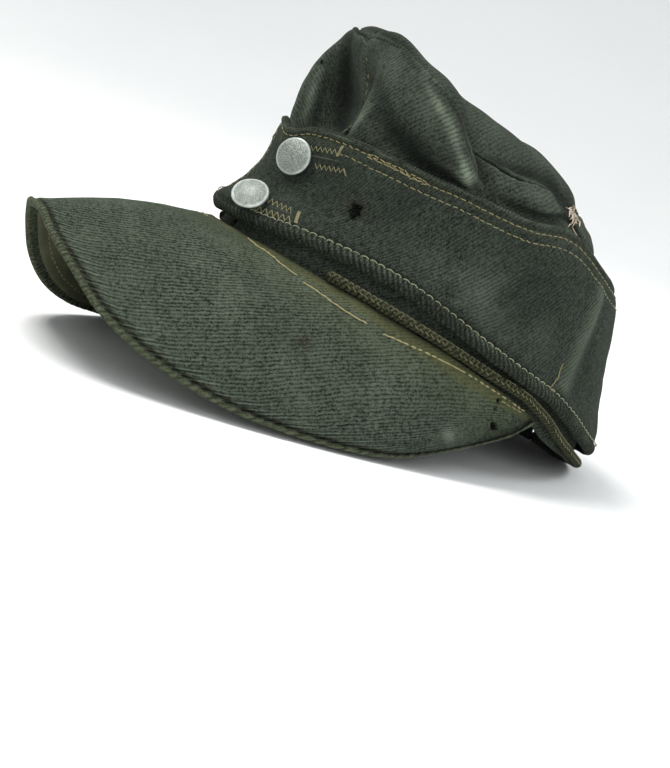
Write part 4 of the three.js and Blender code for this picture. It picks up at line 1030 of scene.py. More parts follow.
def flap_body(side):
    a0, a1 = (FLAP_EDGE, 179.85) if side == "left" else (-179.85, FLAP_EDGE - 0.45)
    nu, nv = (330, 96) if side == "left" else (230, 70)
    ang = np.linspace(a0, a1, nu)[:, None] + np.zeros((1, nv))
    t = np.linspace(0, 1, nv)[None]
    lo, hi = flap_low(ang) + 1.2, flap_high(ang)
    z = mix(lo, hi, t)
    over = 1.4 * bump(ang - FLAP_EDGE, 0, 7) if side == "left" else 0 * ang
    # the roll's ridge hides the lowest strip, which runs up behind it
    tuck = 1.1 * step01(lo + 2.8 - z, 0, 3)
    p = flap_point(ang, z, FLAP_CLOTH / 2 - over + tuck)
    from_top = hi - z
    from_low = z - flap_low(ang)
    run = arc(p, 0)
    along = run[:, nv // 3:nv // 3 + 1] + np.zeros((1, nv))
    groove = lambda d, at, width: np.exp(-((d - at) / width) ** 2)
    wave = np.sin(along * 2 * math.pi / 3.1)
    lift = -0.38 * groove(from_top, ROW_1, 0.55) * (0.8 + 0.2 * wave)
    second = step01(np.abs(ang), ROW_2_START - 1, ROW_2_START + 1)
    lift -= 0.3 * second * groove(from_top, ROW_2, 0.55) * (0.8 + 0.2 * wave)
    lift += 0.3 * groove(from_top, ROW_1 - 2.0, 1.3)
    lift += 0.14 * second * groove(from_top, (ROW_1 + ROW_2) / 2, 1.2)
    lift -= 0.45 * groove(from_low, ROLL_TOP + 0.2, 0.8)
    lift += 0.10 * np.sin(along * 2 * math.pi / 3.5) * np.exp(-np.maximum(0, from_low - ROLL_TOP) / 2.2)
    face = step01(from_top, 5, 12) * step01(from_low, 5, 10)
    lift += face * (0.28 * ripples(p, 34, 21) + 0.1 * ripples(p, 11, 22))
    # the upright fold toward the back and a softer one before it
    for at, width, high in ((104, 2.2, 0.9), (110, 3.2, -0.9), (97, 3.5, -0.35), (84, 5, 0.3)):
        lift += high * np.exp(-((np.abs(ang) - at - 0.12 * (z - 30)) / width) ** 2) * step01(from_top, 4, 14) * step01(from_low, 4, 12)
    # buttonholes pull the front
    lift += 0.35 * bump(ang, 13, 9) * bump(z, 27, 9) * (side == "left")
    half = np.full((nu, nv), FLAP_CLOTH / 2)
    half += (FLAP_BEAD - FLAP_CLOTH / 2) * np.exp(-((from_top - 1.6) / 1.6) ** 2)
    half *= np.sqrt(np.clip(1 - (1 - np.clip(from_top / 1.4, 0, 1)) ** 2, 0.04, 1))
    lift *= np.clip(from_top / 1.0, 0, 1)
    wear = 0.3 * np.exp(-(from_top / 1.6) ** 2) * np.clip(0.5 + ripples(p, 12, 6), 0, 1)
    wear += 0.22 * face * bump(ang, 72, 18) * bump(z, 24, 13) * np.clip(0.6 + 0.5 * ripples(p, 16, 12), 0, 1)
    wear += 0.35 * np.exp(-((np.abs(ang) - 104 - 0.12 * (z - 30)) / 3) ** 2) * face
    stain = 0.55 * np.exp(-(((ang - 31) / 3.0) ** 2 + ((z - 29) / 3.5) ** 2)) * (side == "left") + 0.05
    faded = 0.15 * np.exp(-((from_top - ROW_1) / 2.0) ** 2)
    # painted shade: darker in the groove over the roll and beside the first stitch row, and darker in loose random
    # patches over the face
    light = 1 - 0.5 * np.exp(-((from_low - ROLL_TOP - 0.2) / 1.0) ** 2) - 0.3 * np.exp(-((from_top - ROW_1 + 0.7) / 0.8) ** 2)
    light = light * (1 - 0.22 * face * np.clip(ripples(p, 36, 25), 0, 1))
    uv = np.stack([along, arc(p, 1)], -1)
    gone = None
    if side == "left":
        r = HOLES[0]
        p, gone, c0, axes_, far_ = cut_hole(p, (r["x"], r["y"], r["z"]), r["radius"] * 1.75, -1.57)
        frayed.append((c0, axes_, r["radius"] * 1.75, None, 1))
        # painted shade round the moth hole's edge, so that the hole reads dark
        light = light * (1 - 0.75 * np.exp(-(far_ / 1.25) ** 6))
    tone = np.stack([wear, stain + 0 * wear, faded, np.clip(light, 0.05, 1)], -1)
    o, outer, _ = cloth("flap_%s_cloth" % side, p, half, M_FLAP, uv, tone, None, lift, gone)
    return done(o, ["flap_" + side])


flap_left = flap_body("left")
flap_right = flap_body("right")


def flap_roll(side):
    """The fat folded lower edge, wound tight by its stitches so that its ribs run across it like a rope."""
    a0, a1 = (FLAP_EDGE + 0.1, 179.8) if side == "left" else (-179.8, FLAP_EDGE - 0.55)
    nu, nv = (900, 18) if side == "left" else (600, 16)
    ang = np.linspace(a0, a1, nu)
    over = 1.4 * bump(ang - FLAP_EDGE, 0, 7) if side == "left" else 0 * ang
    lo = flap_low(ang)
    axis = flap_point(ang, lo + ROLL_RADIUS, 1.15 - over)
    out = unit(flap_point(ang, lo + ROLL_RADIUS, -1) - flap_point(ang, lo + ROLL_RADIUS, 0))
    up = np.array([0, 0, 1.0])
    run = np.concatenate([[0], np.cumsum(np.linalg.norm(np.diff(axis, axis=0), axis=1))])
    t = np.arange(nv) / nv * 2 * math.pi
    skew = 0.35 * ripples(axis, 20, 41)
    # slanting ribs, each a little different
    ph = (run[:, None] + 1.9 * np.sin(t)[None] + skew[:, None]) * 2 * math.pi / 2.35
    rib = 0.5 + 0.5 * np.sin(ph)
    pinch = 0.16 * np.sin(run * 2 * math.pi / 3.5)[:, None] * np.maximum(0, np.sin(t))[None]
    end = np.sqrt(np.clip(1 - (1 - np.clip(np.minimum(run, run[-1] - run) / 2.2, 0, 1)) ** 2, 0.12, 1))
    rad = (ROLL_RADIUS - 0.36 + 0.42 * rib ** 0.6 + pinch + 0.18 * ripples(axis, 15, 17)[:, None]) * end[:, None]
    # flattened on the inner side so that it stays clear of the crown
    ox = np.where(np.cos(t) > 0, np.cos(t) * 0.92, np.cos(t) * 0.7)
    p = axis[:, None] + out[:, None] * (rad * ox[None])[..., None] + up * (rad * np.sin(t)[None])[..., None]
    verts = np.concatenate([p.reshape(-1, 3), axis[:1], axis[-1:]])
    f = [quads(nu, nv, closed_v=True)]
    j = np.arange(nv)
    c0, c1 = nu * nv, nu * nv + 1
    f.append(np.stack([np.full(nv, c0), (j + 1) % nv, j, j], -1))
    last = (nu - 1) * nv
    f.append(np.stack([np.full(nv, c1), last + j, last + (j + 1) % nv, last + (j + 1) % nv], -1))
    faces = np.concatenate(f)
    if np.sum(verts[faces[:nu, 0]] * np.cross(verts[faces[:nu, 1]], verts[faces[:nu, 2]])) == 0:
        pass
    uv = np.stack(np.broadcast_arrays(run[:, None], t[None] * ROLL_RADIUS), -1).reshape(-1, 2)
    uv = np.concatenate([uv, uv[:1], uv[-1:]])
    wear = 0.35 * rib * np.maximum(0, np.sin(t + 0.6))[None] * np.clip(0.5 + 0.6 * ripples(axis, 18, 19), 0, 1)[:, None]
    faded = 0.0 * rib + 0.25 * (1 - rib) * 0
    stain = 0.3 * (1 - rib)
    # painted shade in the grooves between the ribs
    light = 1 - 0.85 * (1 - rib) ** 2.2
    tone = np.stack([wear, stain, faded, light], -1).reshape(-1, 4)
    tone = np.concatenate([tone, tone[:1], tone[-1:]])
    me = orient(verts, faces)
    o = make("flap_%s_roll" % side, stand(verts), me, M_ROLL, uv, tone)
    return done(o, []), axis, out, run, ang


def flap_cord(side):
    """The narrow rounded upper edge of the flap, wound by its seam so that fine ribs run across it."""
    a0, a1 = (FLAP_EDGE + 0.6, 179.7) if side == "left" else (-179.7, FLAP_EDGE - 0.8)
    nu, nv = (1500, 10) if side == "left" else (1100, 9)
    ang = np.linspace(a0, a1, nu)
    over = 1.4 * bump(ang - FLAP_EDGE, 0, 7) if side == "left" else 0 * ang
    high = flap_high(ang) - 1.35
    axis = flap_point(ang, high, FLAP_CLOTH / 2 - over)
    out = unit(flap_point(ang, high, -1) - flap_point(ang, high, 0))
    run = np.concatenate([[0], np.cumsum(np.linalg.norm(np.diff(axis, axis=0), axis=1))])
    t = np.arange(nv) / nv * 2 * math.pi
    rib = 0.5 + 0.5 * np.sin((run[:, None] - 0.9 * np.sin(t)[None] + 0.5 * ripples(axis, 24, 46)[:, None]) * 2 * math.pi / 1.25)
    end = np.sqrt(np.clip(1 - (1 - np.clip(np.minimum(run, run[-1] - run) / 1.6, 0, 1)) ** 2, 0.1, 1))
    rad = (FLAP_BEAD + 0.12 + 0.16 * rib ** 0.7 + 0.08 * ripples(axis, 13, 47)[:, None]) * end[:, None]
    p = axis[:, None] + out[:, None] * (rad * np.cos(t)[None])[..., None] + np.array([0, 0, 1.0]) * (rad * 1.05 * np.sin(t)[None])[..., None]
    verts = np.concatenate([p.reshape(-1, 3), axis[:1], axis[-1:]])
    j = np.arange(nv)
    last = (nu - 1) * nv
    faces = np.concatenate([quads(nu, nv, closed_v=True),
                            np.stack([np.full(nv, nu * nv), (j + 1) % nv, j, j], -1),
                            np.stack([np.full(nv, nu * nv + 1), last + j, last + (j + 1) % nv, last + (j + 1) % nv], -1)])
    uv = np.stack(np.broadcast_arrays(run[:, None], t[None] * FLAP_BEAD), -1).reshape(-1, 2)
    uv = np.concatenate([uv, uv[:1], uv[-1:]])
    wear = 0.3 * rib * np.maximum(0, np.sin(t))[None] * np.clip(0.4 + 0.8 * ripples(axis, 16, 48), 0, 1)[:, None]
    # painted shade in the grooves between the ribs
    light = 1 - 0.7 * (1 - rib) ** 1.5
    tone = np.stack([wear, 0 * rib, 0.1 + 0 * rib, light], -1).reshape(-1, 4)
    tone = np.concatenate([tone, tone[:1], tone[-1:]])
    return done(make("flap_%s_upper_cord" % side, stand(verts), orient(verts, faces), M_ROLL, uv, tone), [])


def orient(verts, faces):
    a, b, c, d = (verts[faces[:, k]] for k in range(4))
    vol = np.sum(a * np.cross(b, c)) + np.sum(a * np.cross(c, d))
    return faces[:, ::-1][:, [3, 2, 1, 0]][:, ::-1] if vol < 0 else faces


roll_left = flap_roll("left")
roll_right = flap_roll("right")
flap_cord("left")
flap_cord("right")


# ---- rolled seam along the crown's lower edge ----------------------------------------------------
def edge_seam():
    nu, nv = 1000, 14
    ang = np.linspace(BAND_START, 360 - BAND_START, nu)
    around = np.where(ang > 180, ang - 360, ang)
    c = rim_point(around, 0)
    a = ang * DEG
    out = np.stack([np.sin(a), -np.cos(a), 0 * a], -1)
    off = CLOTH / 2 + GAP + BAND_RADIUS
    free = flap_low(around) - GAP - BAND_RADIUS - c[:, 2] - 0.2
    lift = mix(np.minimum(2.9, free), BAND_RADIUS + 0.1, np.clip((np.abs(around) - 84) / 14, 0, 1))
    share = np.clip(around / PEAK_END_ANGLE, -0.97, 0.97)
    reach = np.linalg.norm(peak_point(share, 0) - peak_point(share, 1), axis=-1)
    on_peak = peak_point(share, np.clip((off - 1.6) / reach, 0, 0.3))[:, 2] + PEAK_THICK / 2 + BAND_RADIUS + 0.45 - c[:, 2]
    lift = mix(np.minimum(on_peak, lift), lift, step01(np.abs(around), 80, 94))
    axis = c + out * off + np.array([0, 0, 1.0]) * lift[:, None]
    run = np.concatenate([[0], np.cumsum(np.linalg.norm(np.diff(axis, axis=0), axis=1))])
    t = np.arange(nv) / nv * 2 * math.pi
    ph = (run[:, None] - 1.2 * np.sin(t)[None] + 0.4 * ripples(axis, 22, 44)[:, None]) * 2 * math.pi / 2.1
    rib = 0.5 + 0.5 * np.sin(ph)
    rad = BAND_RADIUS + 0.12 * np.clip((90 - np.abs(around)) / 10, 0, 1)[:, None] - 0.22 + 0.3 * rib ** 0.7 + 0.1 * ripples(axis, 12, 45)[:, None]
    rad = rad - 0.28 * bump(t, 1.1, 0.25)[None] - 0.2 * bump(t, -0.2 + 2 * math.pi, 0.25)[None]
    up = np.array([0, 0, 1.0])
    p = axis[:, None] + out[:, None] * (rad * np.cos(t)[None])[..., None] + up * (rad * np.sin(t)[None])[..., None]
    verts = np.concatenate([p.reshape(-1, 3), axis[:1], axis[-1:]])
    j = np.arange(nv)
    last = (nu - 1) * nv
    faces = np.concatenate([quads(nu, nv, closed_v=True),
                            np.stack([np.full(nv, nu * nv), (j + 1) % nv, j, j], -1),
                            np.stack([np.full(nv, nu * nv + 1), last + j, last + (j + 1) % nv, last + (j + 1) % nv], -1)])
    uv = np.stack(np.broadcast_arrays(run[:, None], t[None] * BAND_RADIUS), -1).reshape(-1, 2)
    uv = np.concatenate([uv, uv[:1], uv[-1:]])
    wear = 0.3 * rib * np.maximum(0, np.sin(t))[None]
    stain = 0.4 * (1 - rib)
    faded = 0.3 + 0 * rib
    # painted shade in the grooves between the ribs
    light = 1 - 0.75 * (1 - rib) ** 1.5
    tone = np.stack([wear, stain, faded, light], -1).reshape(-1, 4)
    tone = np.concatenate([tone, tone[:1], tone[-1:]])
    o = make("edge_seam_roll", stand(verts), orient(verts, faces), M_EDGE, uv, tone)
    return done(o, ["crown_edge_seam"]), axis, out, run, around


seam = edge_seam()


# ---- peak --------------------------------------------------------------------------------------
def peak_width(a):
    return np.linalg.norm(peak_point(a, 0) - peak_point(a, 1), axis=-1)


def peak_cloth():
    nu = 560
    t = np.linspace(-1, 1, nu)
    at = 0.997 * np.sign(t) * (1 - (1 - np.abs(t)) ** 1.35)
    width = peak_width(at)
    n_top, n_bead, n_under = 72, 12, 26
    small = np.clip(width / 7.0, 0, 1)
    bead = PEAK_EDGE - 0.15
    # how far in from the free edge, and how far off the middle surface, round the section
    s_top = 1 - np.linspace(0, 1, n_top) ** 0.8
    back_top = 2.6 + (width[:, None] - 3.4) * s_top[None]
    lift_top = np.full((nu, n_top), PEAK_THICK / 2)
    th = np.linspace(0.5 * math.pi, -0.5 * math.pi, n_bead)
    back_bead = np.broadcast_to(bead - bead * np.cos(th)[None], (nu, n_bead))
    lift_bead = np.broadcast_to(bead * np.sin(th)[None], (nu, n_bead))
    s_un = np.linspace(0, 1, n_under) ** 1.2
    back_un = 3.2 + (width[:, None] - 4.0) * s_un[None]
    lift_un = np.full((nu, n_under), -PEAK_THICK / 2)
    back_ = np.concatenate([back_top, back_bead, back_un], 1) * small[:, None]
    back_ = np.minimum(back_, width[:, None])
    lift = np.concatenate([lift_top, lift_bead, lift_un], 1) * (0.35 + 0.65 * small[:, None])
    w = 1 - back_ / width[:, None]
    A = at[:, None] + np.zeros_like(w)
    p = peak_point(A, w)
    eps = 0.004
    du = peak_point(np.clip(A + eps, -0.999, 0.999), w) - peak_point(np.clip(A - eps, -0.999, 0.999), w)
    dw = peak_point(A, np.clip(w + eps, 0, 1)) - peak_point(A, np.clip(w - eps, 0, 1))
    n = unit(np.cross(dw, du))
    n = np.where((n[..., 2:] < 0), -n, n)
    # across: distance from the middle line with the fore-and-aft part left out
    cross = np.zeros_like(w)
    mid = nu // 2
    for j in range(w.shape[1]):
        d = np.diff(p[:, j], axis=0)
        s = np.concatenate([[0], np.cumsum(np.hypot(d[:, 0], d[:, 2]) )])
        cross[:, j] = s - s[mid]
    top_mask = np.zeros(w.shape[1]); top_mask[:n_top] = 1
    edge_d = back_
    is_top = top_mask[None]
    # the groove beside the wrapped edge and the ribs deepening toward it
    groove = -0.55 * np.exp(-((edge_d - 3.1) / 0.7) ** 2) * is_top
    cross = cross + 2.6 * np.exp(-np.maximum(0, edge_d - 3) / 4.0) * is_top * np.sign(A)
    lean = 77 * DEG
    rib = np.sin((cross * math.sin(lean) - edge_d * math.cos(lean)) * 2 * math.pi / 1.9 + 1.3 * ripples(p, 26, 51))
    near_edge = np.exp(-np.maximum(0, edge_d - 3) / 5.0) * is_top
    detail = groove + 0.2 * near_edge * rib
    detail = detail + is_top * (0.22 * ripples(p, 40, 52) + 0.08 * ripples(p, 12, 53)) * step01(edge_d, 3, 9)
    # soft unevenness of the wrapped edge
    beadm = np.zeros(w.shape[1]); beadm[n_top:n_top + n_bead] = 1
    detail = detail + beadm[None] * (0.12 * ripples(p, 7, 54) + 0.13 * rib)
    thread_d = width[:, None] - edge_d
    detail = detail - 0.25 * is_top * np.exp(-((thread_d - peak_line_back(A)) / 1.0) ** 2)
    th_all = np.concatenate([np.full(n_top, 9.0), th, np.full(n_under, -9.0)])
    # moth holes, which end on the stiffening inside
    pit = np.zeros_like(w)
    seen_at = in_photo(p)
    for x0, y0, wide, tall in ((492, 426, 3.0, 4.6), (497, 400.5, 1.9, 2.3), (493.5, 408.5, 1.3, 1.5)):
        d = np.hypot((seen_at[..., 0] - x0 - 0.25 * (seen_at[..., 1] - y0)) / wide, (seen_at[..., 1] - y0) / tall)
        pit = np.maximum(pit, 1 - step01(d * (1 + 0.2 * ripples(p, 2.2, 57)), 0.8, 1.25))
    pit = pit * step01(A, 0.3, 0.4)
    pit = pit * is_top
    detail = detail - 1.3 * pit
    sgn = np.where(lift >= 0, 1, -1)
    q = p + n * (lift + detail * np.where(np.abs(lift) < 0.3, 0.5, 1) * sgn)[..., None]
    nv = w.shape[1]
    verts = q.reshape(-1, 3)
    j = np.arange(nv)
    caps = np.stack([q[0].mean(0), q[-1].mean(0)])
    verts = np.concatenate([verts, caps])
    last = (nu - 1) * nv
    faces = np.concatenate([quads(nu, nv, closed_v=True),
                            np.stack([np.full(nv, nu * nv), (j + 1) % nv, j, j], -1),
                            np.stack([np.full(nv, nu * nv + 1), last + j, last + (j + 1) % nv, last + (j + 1) % nv], -1)])
    uv = np.stack([cross, edge_d], -1).reshape(-1, 2)
    uv = np.concatenate([uv, uv[:1], uv[-1:]])
    left = A > 0
    # tones: olive along the inner seam and the wrapped edge, stain and painted shade between ribs by the edge, marks
    faded = 0.75 * np.exp(-(thread_d / (peak_line_back(A) + 0.6)) ** 6) + 0.16 * np.exp(-((thread_d - 14) / 9) ** 2)
    faded = faded * is_top * 0.95 + beadm[None] * 0.35
    stain = 0.75 * np.exp(-((edge_d - 3.1) / 0.8) ** 2) * is_top
    stain = stain + 0.7 * np.clip(-rib, 0, 1) * np.exp(-np.maximum(0, edge_d - 3) / 2.6) * is_top
    px = lambda x, y, z, r: np.exp(-np.sum((p - np.array([x, y, z])) ** 2, -1) / (r * r))
    stain = stain + 0.55 * px(62.7, -82.2, -23.9, 5.0) + 0.22 * px(58, -92, -24, 7) + 0.5 * px(86.1, -4.4, -14.5, 2.6) + 0.12 * px(70, -60, -20, 10)
    wear = 0.75 * px(86.2, -19.8, -25.9, 2.6) + 0.25 * px(84, -15, -27, 5) + 0.10 * np.clip(ripples(p, 20, 55), 0, 1) * is_top
    wear = wear + 0.3 * np.exp(-((edge_d - 5.5) / 2.0) ** 2) * is_top * np.clip(rib, 0, 1)
    wear = wear + beadm[None] * 0.25 * np.exp(-((th_all[None] - 0.95) / 0.35) ** 2)
    # painted shade: darker in the groove by the wrapped edge, between the ribs, beside the inner seam, and black in the
    # moth pits
    light = 1 - 0.55 * np.exp(-((edge_d - 3.1) / 0.6) ** 2) * is_top - 0.6 * np.clip(-rib, 0, 1) * np.exp(-np.maximum(0, edge_d - 3) / 4.5) * is_top
    light = light - 0.5 * beadm[None] * np.clip(-rib, 0, 1)
    light = light - 0.3 * np.exp(-(thread_d / 2.5) ** 2) * is_top
    light = np.clip(light, 0.15, 1) * (1 - pit)
    tone = np.stack([wear, stain, faded, light], -1).reshape(-1, 4)
    tone = np.concatenate([tone, tone[:1], tone[-1:]])
    o = make("peak_cloth", stand(verts), orient(verts, faces), M_PEAK, uv, tone)
    return done(o, ["peak_cover"])


# distance of the peak's thread line from the inner seam
PEAK_THREAD = rows("at back",
    (0, 6.0), (0.2, 6.2), (0.45, 7.0), (0.7, 8.5), (0.85, 8.0), (0.95, 5.0), (1, 3.0),
)


def peak_line_back(at):
    return from_table(PEAK_THREAD, "at", "back", np.abs(at))


peak = peak_cloth()


def peak_lining():
    nu, nv = 160, 40
    at = np.linspace(-0.88, 0.88, nu)[:, None] + np.zeros((1, nv))
    width = peak_width(at)
    w = mix(0.03, 1 - UNDERLAY_INSET / width, np.linspace(0, 1, nv)[None])
    p = peak_point(at, w)
    n = grid_normals(p)
    n = np.where(n[..., 2:] > 0, -n, n)
    d = PEAK_THICK / 2 + GAP + UNDERLAY / 2 + 0.35
    q = p + n * d
    edge_in = (1 - w) * width - UNDERLAY_INSET
    lift = -0.25 * np.exp(-((edge_in - 3.0) / 0.7) ** 2) + 0.1 * ripples(q, 12, 61)
    uv = np.stack([arc(q, 0), arc(q, 1)], -1)
    count = nu * nv
    outer, inner = q + n * (UNDERLAY / 2 + lift)[..., None], q - n * UNDERLAY / 2
    verts = np.concatenate([outer.reshape(-1, 3), inner.reshape(-1, 3)])
    border = np.concatenate([np.arange(nu) * nv, (nu - 1) * nv + np.arange(1, nv),
                             np.arange(nu - 2, -1, -1) * nv + nv - 1, np.arange(nv - 2, 0, -1)])
    nxt = np.roll(border, -1)
    f = np.concatenate([quads(nu, nv), quads(nu, nv, start=count, flip=True), np.stack([border, border + count, nxt + count, nxt], -1)])
    a, b, c, dd = (verts[f[:, k]] for k in range(4))
    vol = np.sum(a * np.cross(b, c)) + np.sum(a * np.cross(c, dd))
    if vol < 0:
        f = f[:, ::-1]
    o = make("peak_underside_cloth", stand(verts), f, M_UNDER, np.concatenate([uv.reshape(-1, 2)] * 2), np.zeros((2 * count, 3)))
    return done(o, ["peak_underlay"]), q, n, edge_in


under, under_q, under_n, under_edge = peak_lining()


# ---- buttons -----------------------------------------------------------------------------------
def button(spec):
    ang, z = spec["angle"], spec["z"]
    p = flap_point(ang, z)
    up = unit(flap_point(ang, z + 1) - p)
    across = unit(flap_point(ang + 1, z) - p)
    out = unit(np.cross(across, up))
    if out[1] > 0:
        out = -out
    q = np.array(Matrix.Rotation(BUTTON_TURN * DEG, 3, Vector(up)))
    out, across = q @ out, q @ across
    up = np.cross(out, across)
    b = BUTTON_STAND
    R = BUTTON_RADIUS
    # half section: shank, turned-over back edge, rounded rim, shallow dome
    prof = [(0, 0), (1.9, 0), (1.9, b - 0.2), (R - 2.6, b - 0.15), (R - 2.0, b - 0.35), (R - 0.9, b - 0.3), (R - 0.25, b),
            (R, b + BUTTON_EDGE * 0.45), (R - 0.05, b + BUTTON_EDGE * 0.8), (R - 0.3, b + BUTTON_EDGE * 1.02), (R - 0.75, b + BUTTON_EDGE * 1.05)]
    prof += [(R * f, b + 0.02 + BUTTON_EDGE + BUTTON_RISE * (1 - (f / 0.9) ** 2) * 0.85) for f in (0.87, 0.8, 0.7, 0.58, 0.45, 0.32, 0.2, 0.1, 0.03)]
    prof = np.array(prof)
    n = 96
    t = np.arange(n) / n * 2 * math.pi
    rad, hgt = prof[:, 0][:, None], prof[:, 1][:, None] + 0 * t[None]
    dent = 0.12 * np.sin(2 * t + ang)[None] * (rad / R) + 0.05 * np.sin(5 * t)[None] * (rad / R)
    hgt = hgt + dent * (prof[:, 1][:, None] > b)
    base = p + out * (0.9 + FLAP_LAP)
    v = base + across * (rad * np.cos(t)[None])[..., None] + up * (rad * np.sin(t)[None])[..., None] + out * hgt[..., None]
    m = len(prof)
    verts = np.concatenate([v.reshape(-1, 3), [base, base + out * (prof[-1, 1] + 0.01)]])
    j = np.arange(n)
    faces = np.concatenate([quads(m, n, closed_v=True), np.stack([np.full(n, m * n), (j + 1) % n, j, j], -1),
                            np.stack([np.full(n, m * n + 1), (m - 1) * n + j, (m - 1) * n + (j + 1) % n, (m - 1) * n + (j + 1) % n], -1)])
    rim = np.exp(-((prof[:, 0] - (R - 0.25)) / 0.55) ** 2) * (prof[:, 1] > b - 0.1)
    rim = np.concatenate([np.repeat(rim, n), [0, 0]])
    tone = np.stack([rim, 0 * rim, 0 * rim], -1)
    o = make(spec["name_"] + "_metal", stand(verts), orient(verts, faces), M_METAL, np.zeros((len(verts), 2)), tone)
    return done(o, [spec["name_"]])


for spec, label in zip(BUTTONS, ("button_upper", "button_lower")):
    spec["name_"] = label
    button(spec)

# ---- stitches ----------------------------------------------------------------------------------
rng = np.random.default_rng(20)
MM = 0.001


def dashes(line, pitch, length, radius, sink=0.25, jitter=0.12, skip=()):
    """Running stitches along a line of points in metres: short threads that dive into the cloth at both ends."""
    pts, nor = line
    s = np.concatenate([[0], np.cumsum(np.linalg.norm(np.diff(pts, axis=0), axis=1))]) / MM
    out = []
    at = 0.6
    while at + length < s[-1]:
        if not any(a <= at <= b for a, b in skip):
            L = length * rng.uniform(0.85, 1.12)
            q = np.linspace(at, at + L, 7)
            P = np.stack([np.interp(q, s, pts[:, k]) for k in range(3)], -1)
            N = unit(np.stack([np.interp(q, s, nor[:, k]) for k in range(3)], -1))
            T = unit(np.gradient(P, axis=0))
            B = np.cross(N, T)
            f = np.linspace(0, 1, 7)
            h = radius * (0.7 - 2.2 * sink * (np.abs(2 * f - 1) ** 4) * 4) + rng.uniform(-0.03, 0.05)
            side = rng.normal(0, jitter) * (2 * f - 1) + rng.normal(0, jitter * 0.5)
            out.append((P + N * (h * MM)[:, None] + B * (side * MM)[:, None], radius * rng.uniform(0.85, 1.1) * MM))
        at += pitch * rng.uniform(0.94, 1.06)
    return out


def flap_line(sign, angles, below, lift=0.0):
    """Points on the flap's outer face at a distance below its upper edge."""
    a = np.asarray(angles, float)
    z = flap_high(a) - below
    over = 1.4 * bump(a - FLAP_EDGE, 0, 7) if sign > 0 else 0 * a
    p = flap_point(a, z, -over - lift)
    n = unit(flap_point(a, z, -1) - flap_point(a, z, 0))
    return stand(p), turn(n)


def near_line(line, surface, lift=0.0):
    pts, nor = line
    out, ns = [], []
    for q, m in zip(pts, nor):
        loc, n = surface.near(q + m * 0.0006)
        if np.dot(n, m) < 0:
            n = -n
        out.append(loc + n * lift)
        ns.append(n)
    return np.array(out), np.array(ns)


S_LEFT = Surface(flap_left)
S_RIGHT = Surface(flap_right)
S_PEAK = Surface(peak)

stitch_paths = []
a = np.linspace(FLAP_EDGE + 1.6, 178, 700)
stitch_paths += dashes(near_line(flap_line(1, a, ROW_1), S_LEFT), 2.9, 2.15, 0.2)
a = np.linspace(ROW_2_START, 178, 600)
stitch_paths += dashes(near_line(flap_line(1, a, ROW_2), S_LEFT), 2.9, 2.15, 0.19)
# the doubled stretch where the seam was sewn over again
a = np.linspace(27, 46, 120)
stitch_paths += dashes(near_line(flap_line(1, a, ROW_1 + 0.55), S_LEFT), 2.3, 2.3, 0.22, jitter=0.28)
stitch_paths += dashes(near_line(flap_line(1, a, ROW_1 - 0.35), S_LEFT), 2.6, 2.2, 0.2, jitter=0.25)
a = np.linspace(-178, FLAP_EDGE - 3, 600)
stitch_paths += dashes(near_line(flap_line(-1, a, ROW_1), S_RIGHT), 2.9, 2.15, 0.2)
a = np.linspace(-178, -ROW_2_START, 500)
stitch_paths += dashes(near_line(flap_line(-1, a, ROW_2), S_RIGHT), 2.9, 2.15, 0.19)
# the turned front edge
za = np.linspace(12, flap_high(FLAP_EDGE) - ROW_1, 60)
fe = flap_point(FLAP_EDGE + 1.5 + 0 * za, za, -1.4 * bump(1.5, 0, 7))
fn = unit(flap_point(FLAP_EDGE + 1.5 + 0 * za, za, -1) - flap_point(FLAP_EDGE + 1.5 + 0 * za, za, 0))
stitch_paths += dashes(near_line((stand(fe), turn(fn)), S_LEFT), 2.9, 2.1, 0.2)
done(tubes("flap_stitches", stitch_paths, M_OCHRE, 6))

# loops over the roll
loops = []
for (o, axis, out, run, ang), body in ((roll_left, flap_left), (roll_right, flap_right)):
    at = 26.0 if body is flap_left else 4.0
    while at < run[-1] - 2:
        q = np.linspace(at, at + 2.6 * rng.uniform(0.9, 1.1), 9)
        P = np.stack([np.interp(q, run, axis[:, k]) for k in range(3)], -1)
        N = unit(np.stack([np.interp(q, run, out[:, k]) for k in range(3)], -1))
        f = np.linspace(-1, 1, 9)
        rise = (ROLL_RADIUS + 0.25 + 0.5 * (1 - f ** 2)) * math.sin(1.02)
        proud = (ROLL_RADIUS + 0.1 + 0.22 * (1 - f ** 4)) * math.cos(1.02) + 0.55
        P = P + N * proud[:, None] + np.array([0, 0, 1.0]) * rise[:, None]
        loops.append((stand(P), 0.2 * rng.uniform(0.8, 1.1) * MM))
        at += 3.5 * rng.uniform(0.95, 1.05)
done(tubes("roll_stitches", loops, M_PALE, 6))

# stitches over the rolled seam
o, axis, out, run, around = seam
cross = []
at = 1.0
while at < run[-1] - 2.5:
    q = np.linspace(at, at + 1.9, 7)
    P = np.stack([np.interp(q, run, axis[:, k]) for k in range(3)], -1)
    N = unit(np.stack([np.interp(q, run, out[:, k]) for k in range(3)], -1))
    for th0, th1 in ((1.25, 0.95), (0.1, -0.25)):
        th = np.linspace(th0, th1, 7) + rng.normal(0, 0.05)
        r = BAND_RADIUS + 0.06 - 0.35 * np.abs(np.linspace(-1, 1, 7)) ** 4
        X = P + N * (r * np.cos(th))[:, None] + np.array([0, 0, 1.0]) * (r * np.sin(th))[:, None]
        if rng.random() < 0.93:
            cross.append((stand(X), 0.15 * MM))
    at += 2.5 * rng.uniform(0.9, 1.1)
done(tubes("edge_seam_stitches", cross, M_BUTTONHOLE, 6))


